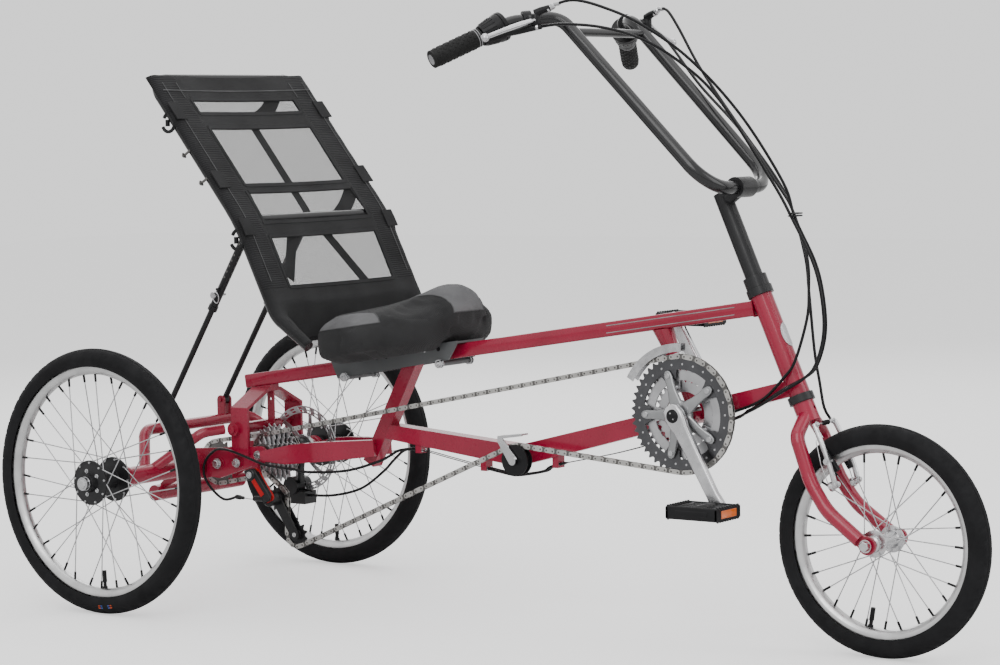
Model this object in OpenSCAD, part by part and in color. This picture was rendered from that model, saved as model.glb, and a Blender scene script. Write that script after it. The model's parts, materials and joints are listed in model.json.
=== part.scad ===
// Recumbent trike: one steered 16 inch wheel in front, two 20 inch wheels behind,
// an under-seat frame of two beams, a mid-drive hub and a reclining sling seat.
// The trike faces +X, its left side is +Y and it stands on Z = 0.

/* [Wheels] */
// Distance from the rear axle to the front axle
wheelbase = 1415; // [1300:5:1550]
// Distance between the rear tyres' centre planes
track = 662; // [600:2:760]
// Outside diameter of a rear tyre
rear_tyre_d = 482; // [440:2:540]
// Outside diameter of the front tyre
front_tyre_d = 379; // [350:1:420]
// Width of a tyre
tyre_w = 40; // [34:1:48]
// Height of a tyre above its rim
tyre_h = 32; // [26:1:36]
// Width of a rim
rim_w = 24; // [20:1:28]
// Depth of a rim towards its hub
rim_h = 15; // [10:1:20]
// Number of spokes in a rear wheel
rear_spokes = 18; // [12:2:36]
// Number of spokes in the front wheel
front_spokes = 14; // [12:2:28]
// Diameter of a spoke
spoke_d = 2.6; // [2:0.2:4]

/* [Steering] */
// Angle between the steering axis and the ground
head_angle = 66.5; // [62:0.5:72]
// Distance of the front axle in front of the steering axis
fork_rake = 46; // [35:1:55]
// Outside diameter of the head tube
head_tube_d = 36; // [34:1:42]
// Length of the head tube
head_tube_l = 176; // [150:2:200]
// Height of one headset cup
cup_h = 13; // [10:1:16]
// Diameter of the fork's steerer
steerer_d = 25.4; // [22:0.2:28.6]
// Distance between the fork's dropouts
fork_gap = 100; // [96:1:110]
// Diameter of the handlebar
bar_d = 22.2; // [20:0.2:25.4]
// Diameter of a grip
grip_d = 32; // [28:1:36]
// Gap between the bar and what slides on it
grip_fit = 0.05;

/* [Frame] */
// Side of the upper beam's square section
beam_s = 25.4; // [22:0.2:32]
// Distance of the upper beam's rear end in front of the rear axle
beam_tail = 76; // [60:1:90]
// Height of the upper beam's rear end above the rear axle
beam_rise = 157; // [140:1:175]
// Width of the lower beam
lower_w = 30; // [26:1:36]
// Depth of the lower beam at its bend
lower_h = 37; // [32:1:42]
// Depth of the lower beam at its two ends
lower_end_h = 26; // [22:1:30]
// Diameter of the rear axle housings
housing_d = 34; // [30:1:40]
// Diameter of the rear axle
axle_d = 15; // [12:0.5:17]
// Diameter of the rear hoop and stays
hoop_d = 21; // [18:1:25]
// Thickness of the flat frame plates
plate_t = 6; // [5:0.5:8]

/* [Drive] */
// Distance between the mid hub's dropouts
hub_gap = 135; // [130:1:140]
// Distance of the bottom bracket behind the front axle
bb_setback = 349; // [330:1:370]
// Height of the bottom bracket above the front axle
bb_rise = 193.5; // [180:0.5:210]
// Length of a crank, from spindle to pedal
crank_l = 170; // [150:2.5:175]
// Angle of the right crank, upwards from straight ahead
crank_angle = -60; // [-90:1:-30]
// Teeth on the large chainring
ring_teeth = 48; // [44:1:52]
// Diameter of the brake disc
disc_d = 160; // [140:20:180]

/* [Seat] */
// Length of the cushion
cushion_l = 276; // [240:2:300]
// Width of the cushion
cushion_w = 350; // [300:5:380]
// Height of the cushion
cushion_h = 79; // [60:1:90]
// Width of the seat back over its fabric
back_w = 438; // [400:2:460]
// Diameter of the seat back's tube
back_tube_d = 19; // [16:1:22]
// Distance of each strut from the centre plane
strut_y = 79; // [70:1:90]

/* [Hidden] */
$fn = 48;
// Overlap of a tool that cuts right through a wall
eps = 1;
// How far straight stretches run into a bend, and how much thicker the bend's wall is
lap = 1;
sleeve_t = 0.2;

// Colours
cherry = [0.62, 0.06, 0.14];
blackish = [0.1, 0.1, 0.11];
cloth = [0.2, 0.2, 0.21];
silver = [0.78, 0.78, 0.8];
dark_steel = [0.35, 0.36, 0.37];

// Wheel centres in the side view, [x, z]
rear_c = [0, rear_tyre_d / 2];
front_c = [wheelbase, front_tyre_d / 2];
rear_y = track / 2;
// The model is centred between its rearmost and foremost points
x_mid = (wheelbase + front_tyre_d / 2 - rear_tyre_d / 2) / 2;

// Upper beam, from its tail to the head tube
crown_s = 196;
cup_low_s = 258;
tube_low_s = cup_low_s + cup_h;
tube_top_s = tube_low_s + head_tube_l;
cup_top_s = tube_top_s + cup_h;
beam_head_s = tube_top_s - 20;
beam_a = [rear_c.x + beam_tail, rear_c.y + beam_rise];
beam_b = [hp(beam_head_s, 0).x, hp(beam_head_s, 0).z];
beam_slope = (beam_b.y - beam_a.y) / (beam_b.x - beam_a.x);
beam_angle = atan(beam_slope);
// Half height of the beam, measured straight up
beam_hz = beam_s / 2 / cos(beam_angle);

// Gap between a turning face and the face it turns on
turn_gap = 0.2;

// Bottom bracket and front mast
bb = [front_c.x - bb_setback, front_c.y + bb_rise];
shell_d = 40;
shell_w = 68;
spindle_d = 17;
spider_angle = 38;
mast_top_x = bb.x - 69;
mast_top = [mast_top_x, beam_z(mast_top_x)];

// Lower beam: rear end, bend and front end
strut_foot = [rear_c.x + 368, rear_c.y + 18];
strut_top_x = rear_c.x + 475;
strut_lean = (strut_top_x - strut_foot.x) / (beam_z(strut_top_x) - strut_foot.y);
low_a_z = rear_c.y + 80;
low_a = [strut_foot.x + (low_a_z - strut_foot.y) * strut_lean, low_a_z];
low_b = [bb.x - 361, bb.y - 92];
low_c = [hp(tube_low_s + 14, 0).x, hp(tube_low_s + 14, 0).z];

// Mid hub and axle sprocket
mid_c = [rear_c.x + 160.5, rear_c.y + 28.7];
mid_end = hub_gap / 2;
plate_y = mid_end;
yoke_x = rear_c.x + 117;
yoke_w = 40;
yoke_y = mid_end + plate_t;
bolt_z = rear_c.y + 75;

// Chain
pitch = 12.7;
chain_w = 7;
chain_h = 7.6;
chain_y = -46;
axle_chain_y = -6;
function pitch_r(teeth) = pitch / 2 / sin(180 / teeth);
ring_r = pitch_r(ring_teeth);
cog_r = pitch_r(18);
guide_r = pitch_r(11);
idler_r = pitch_r(13);
axle_cog_r = pitch_r(20);
mid_cog_r = pitch_r(18);
root_gap = 4.4;
derailleur_c = [mid_c.x - 12, mid_c.y - 36];
guide_c = [mid_c.x + 19, mid_c.y - 82];
tension_c = [mid_c.x + 62, mid_c.y - 147];
idler_c = [low_b.x + 21, low_b.y - 3];

// Seat
seat_x = rear_c.x + 467;
bracket_t = 4;
cushion_z0 = beam_z(seat_x) + beam_hz + bracket_t + 1.3;
hinge = [rear_c.x + 318, beam_z(rear_c.x + 318) + beam_hz + 8];
back_y = back_w / 2 - back_tube_d / 2 - 3;
back_pts = [[hinge.x - 283, hinge.y + 511], [hinge.x - 78, hinge.y + 252],
            [hinge.x + 4, hinge.y + 83], [hinge.x + 79, hinge.y + 33]];
back_bends = [260, 60];
strut_foot_c = [rear_c.x - 60, rear_c.y + 109];
strut_head_c = [hinge.x - 163, hinge.y + 238];
strut_dir = (strut_head_c - strut_foot_c) / norm(strut_head_c - strut_foot_c);
strut_len = norm(strut_head_c - strut_foot_c);
rod_d = 11;
sleeve_d = 15;
sleeve_l = 182;

// Height of the upper beam's centre line at x
function beam_z(x) = beam_a.y + (x - beam_a.x) * beam_slope;
// A point at s along the steering axis, f in front of it and y to the left
function hp(s, f, y = 0) = [front_c.x - s * cos(head_angle) + (f - fork_rake) * sin(head_angle), y,
                            front_c.y + s * sin(head_angle) + (f - fork_rake) * cos(head_angle)];
function unit(v) = v / norm(v);

// Moves the model so that its origin is under its middle
module place() translate([-x_mid, 0, 0]) children();

// Turns +Z towards the line from a to b and starts at a
module along(a, b) {
    v = b - a;
    translate(a) rotate([0, acos(v.z / norm(v)), atan2(v.y, v.x)]) children();
}

// Round bar from a to b
module rod(a, b, d) along(a, b) cylinder(h = norm(b - a), d = d);

// Cone from a to b
module cone(a, b, d1, d2) along(a, b) cylinder(h = norm(b - a), d1 = d1, d2 = d2);

// Bar along Y at [x, z], from y0 to y1
module pin(c, y0, y1, d) translate([c.x, y1, c.y]) rotate([90, 0, 0]) cylinder(h = y1 - y0, d = d);

// Shape drawn in the side view, from y0 to y1
module side(y0, y1) translate([0, y1, 0]) rotate([90, 0, 0]) linear_extrude(y1 - y0) children();

// Rectangular bar in the side view, from a to b
module beam(a, b, w, h)
    translate([a.x, 0, a.y]) rotate([0, -atan2(b.y - a.y, b.x - a.x), 0])
        translate([0, -w / 2, -h / 2]) cube([norm(b - a), w, h]);

// The same on both sides of the centre plane
module both() {
    children();
    mirror([0, 1, 0]) children();
}

// One bend of a tube at corner c, coming from a and going on to b
module bend(a, c, b, r, d) {
    u = unit(c - a);
    v = unit(b - c);
    turn = acos(u * v);
    n = unit(v - (u * v) * u);
    w = cross(-n, u);
    t = r * tan(turn / 2);
    m = c - t * u + r * n;
    multmatrix([[-n.x, u.x, w.x, m.x], [-n.y, u.y, w.y, m.y], [-n.z, u.z, w.z, m.z], [0, 0, 0, 1]])
        rotate_extrude(angle = turn) translate([r, 0]) circle(d = d + 2 * sleeve_t);
}

// Length that a bend takes from each of its two legs
function bend_t(a, c, b, r) = r * tan(acos(unit(c - a) * unit(b - c)) / 2);

// Tube through the points p, with bend radii r at the inner points. Each bend is a
// hair thicker than the straight stretches, which run a little way into it.
module bent(p, r, d) {
    last = len(p) - 1;
    for (i = [0:last - 1]) {
        t0 = i == 0 ? 0 : bend_t(p[i - 1], p[i], p[i + 1], r[i - 1]) - lap;
        t1 = i == last - 1 ? 0 : bend_t(p[i], p[i + 1], p[i + 2], r[i]) - lap;
        u = unit(p[i + 1] - p[i]);
        rod(p[i] + t0 * u, p[i + 1] - t1 * u, d);
        if (i > 0) bend(p[i - 1], p[i], p[i + 1], r[i - 1], d);
    }
}

// Point of the side view, at y, and the other way round
function at_y(c, y) = [c.x, y, c.y];
function flat(p) = [p.x, p.z];
// Path p from the centre plane outwards, led by its mirror image
function whole(p) = concat([for (i = [len(p) - 1:-1:0]) [p[i].x, -p[i].y, p[i].z]], p);
// Bend radii of a whole path, from those of its left half
function whole_r(r) = concat([for (i = [len(r) - 1:-1:0]) r[i]], r);

// ---- Frame ----

module upper_beam() color(cherry) place()
    difference() {
        beam(beam_a, beam_b, beam_s, beam_s);
        rod(hp(0, 0), hp(600, 0), head_tube_d);
    }

module diagonal_strut() color(cherry) place()
    difference() {
        beam(strut_foot, [strut_top_x, beam_z(strut_top_x)], beam_s, beam_s);
        beam(beam_a, beam_b, 2 * beam_s, beam_s);
    }

low_u = unit(low_c - low_b);
low_n = [-low_u.y, low_u.x];
lower_outline = [low_a + [0, lower_end_h / 2], low_b + [0, lower_h / 2], low_c + low_n * lower_end_h / 2,
                 low_c - low_n * lower_end_h / 2, low_b - [0, lower_h / 2], low_a - [0, lower_end_h / 2]];
module lower_beam() color(cherry) place() {
    difference() {
        side(-lower_w / 2, lower_w / 2) polygon(lower_outline);
        rod(hp(0, 0), hp(600, 0), head_tube_d);
        beam(strut_foot, [strut_top_x, beam_z(strut_top_x)], 2 * beam_s, beam_s);
        pin(bb, -60, 60, shell_d);
    }
}

module front_mast() color(cherry) place() {
    u = unit(bb - mast_top);
    knee = mast_top + 55 * u;
    difference() {
        union() {
            cone(at_y(mast_top, 0), at_y(knee, 0), 38, 25.4);
            rod(at_y(knee, 0), at_y(bb, 0), 25.4);
            pin(bb, -shell_w / 2, shell_w / 2, shell_d);
        }
        beam(beam_a, beam_b, 3 * beam_s, beam_s);
        translate([mast_top.x - 40, -40, mast_top.y]) cube([80, 80, 60]);
        pin(bb, -shell_w, shell_w, spindle_d + 1);
        side(-40, 40) polygon([low_b, low_b + [0, lower_h / 2], low_c + [0, lower_end_h / 2], low_c]);
    }
}

module head_tube() color(cherry) place()
    difference() {
        rod(hp(tube_low_s, 0), hp(tube_top_s, 0), head_tube_d);
        rod(hp(tube_low_s - eps, 0), hp(tube_top_s + eps, 0), steerer_d + 4);
    }

module headset_cups() color(blackish) place()
    for (s = [cup_low_s, tube_top_s])
        difference() {
            rod(hp(s, 0), hp(s + cup_h, 0), head_tube_d + 8);
            rod(hp(s - eps, 0), hp(s + cup_h + eps, 0), steerer_d + 1);
        }

// Inverted U that carries the upper beam above the mid hub
module rear_yoke() color(cherry) place() {
    x0 = yoke_x - yoke_w / 2;
    x1 = yoke_x + yoke_w / 2;
    top = beam_z(x0) - beam_hz;
    shoulder = bolt_z + 40;
    foot = rear_c.y + 26;
    t = plate_t;
    y1 = yoke_y + t;
    difference() {
        union() {
            translate([x0, 0, 0]) rotate([90, 0, 90]) linear_extrude(yoke_w)
                difference() {
                    polygon([[-y1, foot], [-y1, shoulder], [-18, top],
                             [18, top], [y1, shoulder], [y1, foot]]);
                    polygon([[-yoke_y, foot - eps], [-yoke_y, shoulder - t / 2], [-16, top - t],
                             [16, top - t], [yoke_y, shoulder - t / 2], [yoke_y, foot - eps]]);
                }
            // Web with a hole, and the cross tube that ends short of the brake disc
            difference() {
                translate([yoke_x + 3, -2, bolt_z]) cube([15, 4, top - t / 2 - bolt_z]);
                pin([yoke_x + 10.5, top - 22], -5, 5, 6);
            }
            pin([yoke_x - 10, bolt_z], -yoke_y, mid_end - 25, hoop_d);
            translate([yoke_x - 8, -4, bolt_z - 2]) cube([24, 8, 8]);
            side(-beam_s / 2, beam_s / 2)
                polygon([[x0, top - 1], [x1, top - 1], [x1, beam_z(x1) - beam_hz], [x0, top]]);
        }
        both() {
            pin([yoke_x - 10, bolt_z], yoke_y - 12, yoke_y + 2 * t, 10);
            pin([yoke_x - 10, bolt_z], yoke_y - 8, yoke_y, 16);
        }
    }
}

// Two stays from the axle housings up to the yoke, each with an eye bolted to it
module rear_stays() color(cherry) place() {
    eye = [yoke_x - 10, yoke_y + plate_t, bolt_z];
    eye_t = 8;
    tube_d = hoop_d - 2;
    both() difference() {
        union() {
            bent([[eye.x - 19, eye.y + tube_d / 2 + 0.5, bolt_z], [rear_c.x + 66, yoke_y + 52, bolt_z - 4],
                  [rear_c.x + 3, 192, rear_c.y + 8]], [40], tube_d);
            pin([eye.x, eye.z], eye.y, eye.y + eye_t, 25);
        }
        pin([eye.x, eye.z], eye.y - eps, eye.y + 30, 10);
        pin(rear_c, 0, 400, housing_d);
    }
    both() {
        pin([eye.x, eye.z], yoke_y - 7, eye.y + eye_t + 3, 9.4);
        pin([eye.x, eye.z], yoke_y - 7, yoke_y - 1, 15);
        pin([eye.x, eye.z], eye.y + eye_t, eye.y + eye_t + 5, 15);
    }
}

// Bent tube behind the axle, with the clevises that hold the seat struts
module rear_hoop() color(cherry) place() {
    top_x = rear_c.x - 57;
    top_z = rear_c.y + 72;
    side_y = 150;
    foot = [rear_c.x, 212, rear_c.y];
    knee = [top_x, side_y, top_z];
    difference() {
        bent(whole([knee, foot]), [38, 38], hoop_d);
        pin(rear_c, -400, 400, housing_d);
    }
    both() for (y = [strut_y - 11, strut_y + 7]) difference() {
        union() {
            side(y, y + 4) translate(strut_foot_c - [9, 38]) square([18, 38]);
            pin(strut_foot_c, y, y + 4, 18);
        }
        pin(strut_foot_c, y - eps, y + 4 + eps, 8.4);
        pin([top_x, top_z], y - eps, y + 4 + eps, hoop_d);
    }
    both() pin(strut_foot_c, strut_y - 14, strut_y + 14, 8);
}

// Axle housings, the brace under them and the inner plates
module axle_housings() color(cherry) place() {
    brace = [rear_c.x - 62, rear_c.y - 50];
    inner = plate_y - plate_t;
    both() difference() {
        union() {
            pin(rear_c, plate_y + plate_t, rear_y - 54, housing_d);
            pin(rear_c, rear_y - 66, rear_y - 54, housing_d + 10);
            side(inner, plate_y) polygon([rear_c + [-22, -22], rear_c + [-26, 8], rear_c + [-12, 32],
                                          rear_c + [122, 40], rear_c + [122, 8], rear_c + [20, -24]]);
            side(plate_y, plate_y + plate_t) circle_at(rear_c, 2 * 24);
            side(98, 104) polygon([rear_c + [0, -10], rear_c + [-14, 8], brace + [-6, 12], brace + [10, 10],
                                   rear_c + [8, -12]]);
        }
        pin(rear_c, 0, 400, axle_d + 1);
    }
    pin(brace, -122, 122, 30);
}

module circle_at(c, d) translate(c) circle(d = d);

// Outer plates that hold the mid hub, each bolted on with two bolts
module hub_plates() {
    bolts = [rear_c + [60, 8], rear_c + [108, 12]];
    y0 = plate_y;
    color(cherry) place() both() difference() {
        side(y0, y0 + plate_t) union() {
            polygon([rear_c + [28, -18], rear_c + [28, 30], rear_c + [70, 38], mid_c + [0, 16],
                     mid_c + [0, -16], rear_c + [60, -20]]);
            circle_at(mid_c, 32);
        }
        pin(mid_c, 0, 200, 10);
        pin(rear_c, 0, 200, 2 * 24 + 4);
    }
    // Hanger for the derailleur
    color(cherry) place() side(-y0 - plate_t, -y0)
        polygon([mid_c + [-15, -5.5], mid_c + [-8.5, -13.6], derailleur_c + [11, 0], derailleur_c + [8, -8],
                 derailleur_c + [-8, -8], derailleur_c + [-11, 0]]);
    color(silver) place() both() for (c = bolts) {
        pin(c, y0 + plate_t, y0 + plate_t + 2, 21);
        pin(c, y0 + plate_t, y0 + plate_t + 7, 14);
    }
}

// Flattened tubes from the hub's dropouts to the strut, tallest in their middle
module chainstays() color(cherry) place() {
    a = [mid_c.x + 12, mid_end + plate_t + 9, mid_c.y];
    b = [strut_foot.x + 22, beam_s / 2 + 6, strut_foot.y + 30];
    l = norm(b - a);
    both() difference() {
        along(a, b) rotate([90, 0, 0]) translate([0, 0, -8]) linear_extrude(16)
            polygon([[-9, 0], [-17, 60], [-18, 120], [-15, l], [15, l], [18, 120], [18, 50], [9, 0]]);
        beam(strut_foot, [strut_top_x, beam_z(strut_top_x)], beam_s, beam_s + 40);
        beam(low_a, low_b, lower_w, lower_h);
        translate([0, mid_end - 20, 0]) cube([mid_c.x + 40, 20, 600]);
    }
}

module mid_axle() color(silver) place() {
    pin(mid_c, -mid_end - 16, mid_end + 16, 9.6);
    both() pin(mid_c, mid_end + plate_t, mid_end + plate_t + 8, 17);
}

module brake_caliper() place() {
    c = mid_c + [-14, -70];
    disc_y = mid_end - 15;
    color(blackish) {
        pin(c, disc_y - 26, disc_y - 3, 34);
        pin(c, disc_y + 3, disc_y + 20, 30);
        difference() {
            translate([c.x - 14, disc_y - 20, c.y - 34]) cube([44, 34, 24]);
            pin(mid_c, disc_y - 3, disc_y + 3, disc_d + 8);
        }
    }
    color(cherry) translate([c.x + 14, disc_y - 20, c.y + 6]) cube([7, 12, 42]);
}

// ---- Drive ----

// Direction of a chain run from pulley p to pulley q, each [centre, radius, turn]
function run_angle(p, q) =
    let (d = q[0] - p[0], k = p[2] * p[1] - q[2] * q[1])
    atan2(d.y, d.x) + atan2(k, sqrt(d * d - k * k));
function run_point(p, a) = p[0] + p[2] * p[1] * [sin(a), -cos(a)];

// Closed chain around pulleys, as straight runs and arcs, from y0 to y0 + chain_w
module chain_loop(pulleys, y0) {
    n = len(pulleys);
    for (i = [0:n - 1]) {
        p = pulleys[i];
        q = pulleys[(i + 1) % n];
        o = pulleys[(i + n - 1) % n];
        a_in = run_angle(o, p);
        a_out = run_angle(p, q);
        from = run_point(p, a_out);
        to = run_point(q, a_out);
        translate([0, y0 + chain_w, 0]) rotate([90, 0, 0]) {
            translate(from) rotate(a_out) translate([-lap, -chain_h / 2, 0])
                cube([norm(to - from) + 2 * lap, chain_h, chain_w]);
            sweep = p[2] > 0 ? ((a_out - a_in) % 360 + 360) % 360 : ((a_in - a_out) % 360 + 360) % 360;
            start = p[2] > 0 ? a_in - 90 : a_out + 90;
            translate(p[0]) rotate(start) rotate_extrude(angle = sweep)
                translate([p[1] - chain_h / 2 - sleeve_t, -sleeve_t])
                    square([chain_h + 2 * sleeve_t, chain_w + 2 * sleeve_t]);
        }
    }
}

module drive_chain() color(dark_steel) place()
    chain_loop([[bb, ring_r, 1], [mid_c, cog_r, 1], [guide_c, guide_r, -1], [tension_c, guide_r, 1],
                [idler_c, idler_r, -1]], chain_y - chain_w / 2);

module axle_chain() color(dark_steel) place()
    chain_loop([[mid_c, mid_cog_r, 1], [rear_c, axle_cog_r, 1]], axle_chain_y - chain_w / 2);

module rear_derailleur() color(blackish) place() {
    y0 = chain_y - chain_w / 2 - 2;
    y1 = chain_y + chain_w / 2 + 2;
    for (y = [y0 - 3, y1]) side(y, y + 3) {
        polygon([guide_c + [-9, 4], guide_c + [9, -2], tension_c + [8, 3], tension_c + [-8, -4]]);
        circle_at(guide_c, 22);
        circle_at(tension_c, 22);
    }
    for (c = [guide_c, tension_c]) {
        pin(c, y0 - 3, y1 + 3, 6);
        pin(c, y0 + 2.5, y1 - 2.5, 2 * (guide_r - root_gap));
    }
    knuckle = derailleur_c;
    pin(knuckle, -mid_end - 26, -mid_end - plate_t, 22);
    pin(guide_c, y0 - 26, y0 - 3, 26);
    side(-mid_end - 22, -mid_end - 6)
        polygon([knuckle + [-8, 4], knuckle + [4, 9], guide_c + [8, 8], guide_c + [-6, -9]]);
}

module front_derailleur() place() {
    u = unit(bb - mast_top);
    clamp_c = mast_top + 62 * u;
    color(blackish) difference() {
        rod(at_y(clamp_c, 0), at_y(clamp_c + 14 * u, 0), 36);
        rod(at_y(clamp_c - 5 * u, 0), at_y(clamp_c + 20 * u, 0), 25.4);
    }
    color(silver) {
        for (y = [chain_y - 7, chain_y + 8.5]) cage(y, 62, 8, 14, 1.5);
        cage(chain_y + 8, 7, 17, 3, 16);
        cage_top = bb + (ring_r + 14) * [cos(112), sin(112)];
        rod(at_y(clamp_c + [-12, -2], -14), at_y(cage_top, chain_y + 7.6), 9);
    }
}

// Arc over the large chainring, from y inwards by t
module cage(y, turn, off, w, t)
    translate([0, y, 0]) rotate([90, 0, 0]) translate(bb) rotate(88 + (62 - turn) / 8)
        rotate_extrude(angle = turn) translate([ring_r + off, 0]) square([w, t]);

module idler_bracket() color(silver) place() {
    y_out = chain_y - chain_w / 2 - 6;
    // Bolt from the beam out through the wheel, and the plate on its end
    pin(idler_c, chain_y + chain_w / 2 + 5, -lower_w / 2, 14);
    pin(idler_c, y_out, chain_y + chain_w / 2 + 5, 8);
    pin(idler_c, y_out - 6, y_out - 3, 15);
    side(y_out - 3, y_out)
        polygon([idler_c + [-9, -4], idler_c + [-32, 32], idler_c + [-32, 42], idler_c + [20, 48],
                 idler_c + [20, 44], idler_c + [-22, 38], idler_c + [9, 4]]);
    side(y_out, chain_y + chain_w)
        polygon([idler_c + [-32, 39], idler_c + [-32, 42], idler_c + [20, 48], idler_c + [20, 45]]);
}

module idler_wheel() color(blackish) place()
    difference() {
        union() {
            pin(idler_c, chain_y - chain_w / 2 - 2, chain_y + chain_w / 2 + 2, 2 * (idler_r - root_gap));
            for (y = [chain_y - chain_w / 2 - 4, chain_y + chain_w / 2 + 2])
                pin(idler_c, y, y + 2, 2 * idler_r + 2);
        }
        pin(idler_c, chain_y - 20, chain_y + 20, 9);
    }

module chainrings() color(dark_steel) place() {
    y0 = chain_y - 1.5;
    for (k = [0:2]) {
        r = [ring_r, pitch_r(38), pitch_r(28)][k] - root_gap;
        inner = [ring_r - 24, pitch_r(38) - 22, 38][k];
        difference() {
            pin(bb, y0 + 6 * k, y0 + 6 * k + 3, 2 * r);
            pin(bb, y0 + 6 * k - eps, y0 + 6 * k + 3 + eps, 2 * inner);
        }
    }
    for (i = [0:4]) {
        a = spider_angle + 72 * i;
        for (r = [68, 46]) pin(bb + r * [cos(a), sin(a)], y0 - 3, y0 + (r > 60 ? 9 : 15), r > 60 ? 14 : 10);
    }
}

module crank_arms() color(silver) place() {
    ys = chain_y - 1.5;
    side(ys - 9, ys - 3) {
        circle_at(bb, 58);
        for (i = [0:4]) translate(bb) rotate(spider_angle + 72 * i) translate([20, -9]) square([54, 18]);
    }
    y_in = ys - 15;
    for (k = [0, 1]) mirror([0, k, 0]) translate([bb.x, 0, bb.y]) rotate([0, -crank_angle + 180 * k, 0]) {
        translate([0, y_in, 0]) rotate([90, 0, 0]) linear_extrude(13) {
            circle(d = 36);
            polygon([[4, -14], [4, 14], [crank_l - 4, 9], [crank_l - 4, -9]]);
            translate([crank_l, 0]) circle(d = 25);
        }
        translate([crank_l, 0, 0]) pin([0, 0], y_in - 86, y_in - 13, 9);
    }
    pin(bb, y_in, -y_in, spindle_d);
    pin(bb, ys - 15, -shell_w / 2 - 2, 30);
}

// Cage pedal around the crank's pedal spindle, right side
module pedal(c) {
    y1 = chain_y - 1.5 - 15 - 13 - 7;
    l = 100;
    w = 76;
    h = 26;
    difference() {
        translate([c.x - l / 2, y1 - w, c.y - h / 2]) cube([l, w, h]);
        for (k = [-1, 1]) translate([c.x + k * 27 - 15, y1 - w + 9, c.y - h]) cube([30, w - 18, 2 * h]);
        pin(c, y1 - w + 4, y1 + eps, 10);
    }
}

function pedal_c(k) = bb + crank_l * [cos(crank_angle + 180 * k), sin(crank_angle + 180 * k)];
module right_pedal() color(blackish) place() pedal(pedal_c(0));
module left_pedal() color(blackish) place() mirror([0, 1, 0]) pedal(pedal_c(1));

module axle_sprocket() color(dark_steel) place()
    difference() {
        pin(rear_c, axle_chain_y - 1.5, axle_chain_y + 1.5, 2 * (axle_cog_r - root_gap));
        pin(rear_c, -50, 50, axle_d);
    }

module rear_axle() color(silver) place() {
    pin(rear_c, -rear_y - 46, rear_y + 46, axle_d);
    both() pin(rear_c, rear_y + 36, rear_y + 44, 24);
    both() pin(rear_c, 14, 18, 22);
}

module mid_hub() color(blackish) place()
    difference() {
        union() {
            pin(mid_c, -16, mid_end - 18, 44);
            pin(mid_c, axle_chain_y - 1.5, axle_chain_y + 1.5, 2 * (mid_cog_r - root_gap));
            pin(mid_c, 24, 28, 58);
            pin(mid_c, -mid_end + 2, -16, 30);
        }
        pin(mid_c, -100, 100, 11);
    }

// The cog in use stays inside its chain, and the larger cogs are whole
module cassette() color(silver) place() {
    teeth = [11, 13, 15, 18, 21, 23, 26];
    step = 5.2;
    y0 = chain_y - 3 * step - 1;
    for (k = [0:6]) difference() {
        pin(mid_c, y0 + k * step, y0 + k * step + 2, 2 * (pitch_r(teeth[k]) - (k <= 3 ? root_gap : 0)));
        pin(mid_c, -100, 100, 30);
    }
    difference() {
        pin(mid_c, y0, y0 + 6 * step + 2, 38);
        pin(mid_c, -100, 100, 30);
    }
}

module brake_disc() color(silver) place() {
    y0 = mid_end - 16;
    difference() {
        pin(mid_c, y0, y0 + 2, disc_d);
        pin(mid_c, y0 - eps, y0 + 2 + eps, disc_d - 28);
    }
    difference() {
        union() {
            pin(mid_c, y0 - 5, y0 + 2, 52);
            for (i = [0:5]) translate([0, y0 + 2, 0]) rotate([90, 0, 0]) translate(mid_c) rotate(60 * i)
                translate([22, -4, 0.1]) cube([disc_d / 2 - 32, 8, 1.8]);
        }
        pin(mid_c, -100, 100, 40);
        pin(mid_c, y0 - 6, y0, 44);
    }
}

// ---- Wheels ----

// Tyre around the Z axis
module tyre(d) rotate_extrude($fn = 96) intersection() {
    translate([d / 2 - tyre_w / 2, 0]) circle(d = tyre_w);
    translate([d / 2 - tyre_h, -tyre_w]) square([tyre_h, 2 * tyre_w]);
}

// Rim, spokes and hub around the Z axis; w_in and w_out are the flanges' places
module spoked_wheel(d, n, flange_r, w_in, w_out, hub_d, bore_d, ends) {
    ro = d / 2 - tyre_h;
    ri = ro - rim_h;
    wr = rim_w / 2;
    rotate_extrude($fn = 96) polygon([[ri, 4 - wr], [ro, -wr], [ro, wr], [ri, wr - 4]]);
    difference() {
        union() {
            translate([0, 0, w_in]) cylinder(h = w_out - w_in, d = hub_d);
            for (w = [w_in, w_out - 4]) translate([0, 0, w]) cylinder(h = 4, r = flange_r);
            translate([0, 0, ends[0]]) cylinder(h = ends[1] - ends[0], d = bore_d + 12);
        }
        translate([0, 0, ends[0] - eps]) cylinder(h = ends[1] - ends[0] + 2 * eps, d = bore_d);
    }
    for (i = [0:n - 1]) {
        a = 360 * i / n;
        w0 = i % 2 == 0 ? w_in + 2 : w_out - 2;
        r0 = flange_r - 3;
        r1 = ri + 3;
        rod([r0 * cos(a), r0 * sin(a), w0], [r1 * cos(a), r1 * sin(a), 3 * sign(w0)], spoke_d);
    }
}

module rear_right_tyre() color(blackish) place() at_rear(1) tyre(rear_tyre_d);
module rear_left_tyre() color(blackish) place() at_rear(-1) tyre(rear_tyre_d);
module rear_right_wheel() color(silver) place() at_rear(1)
    spoked_wheel(rear_tyre_d, rear_spokes, 40, -39, 24, 36, axle_d + 0.6, [-48, 34]);
module rear_left_wheel() color(silver) place() at_rear(-1)
    spoked_wheel(rear_tyre_d, rear_spokes, 40, -39, 24, 36, axle_d, [-48, 34]);

// Puts a wheel at a rear corner, with +Z outwards; k is 1 on the right
module at_rear(k) translate([rear_c.x, -k * rear_y, rear_c.y]) rotate([90 * k, 0, 0]) children();

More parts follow.
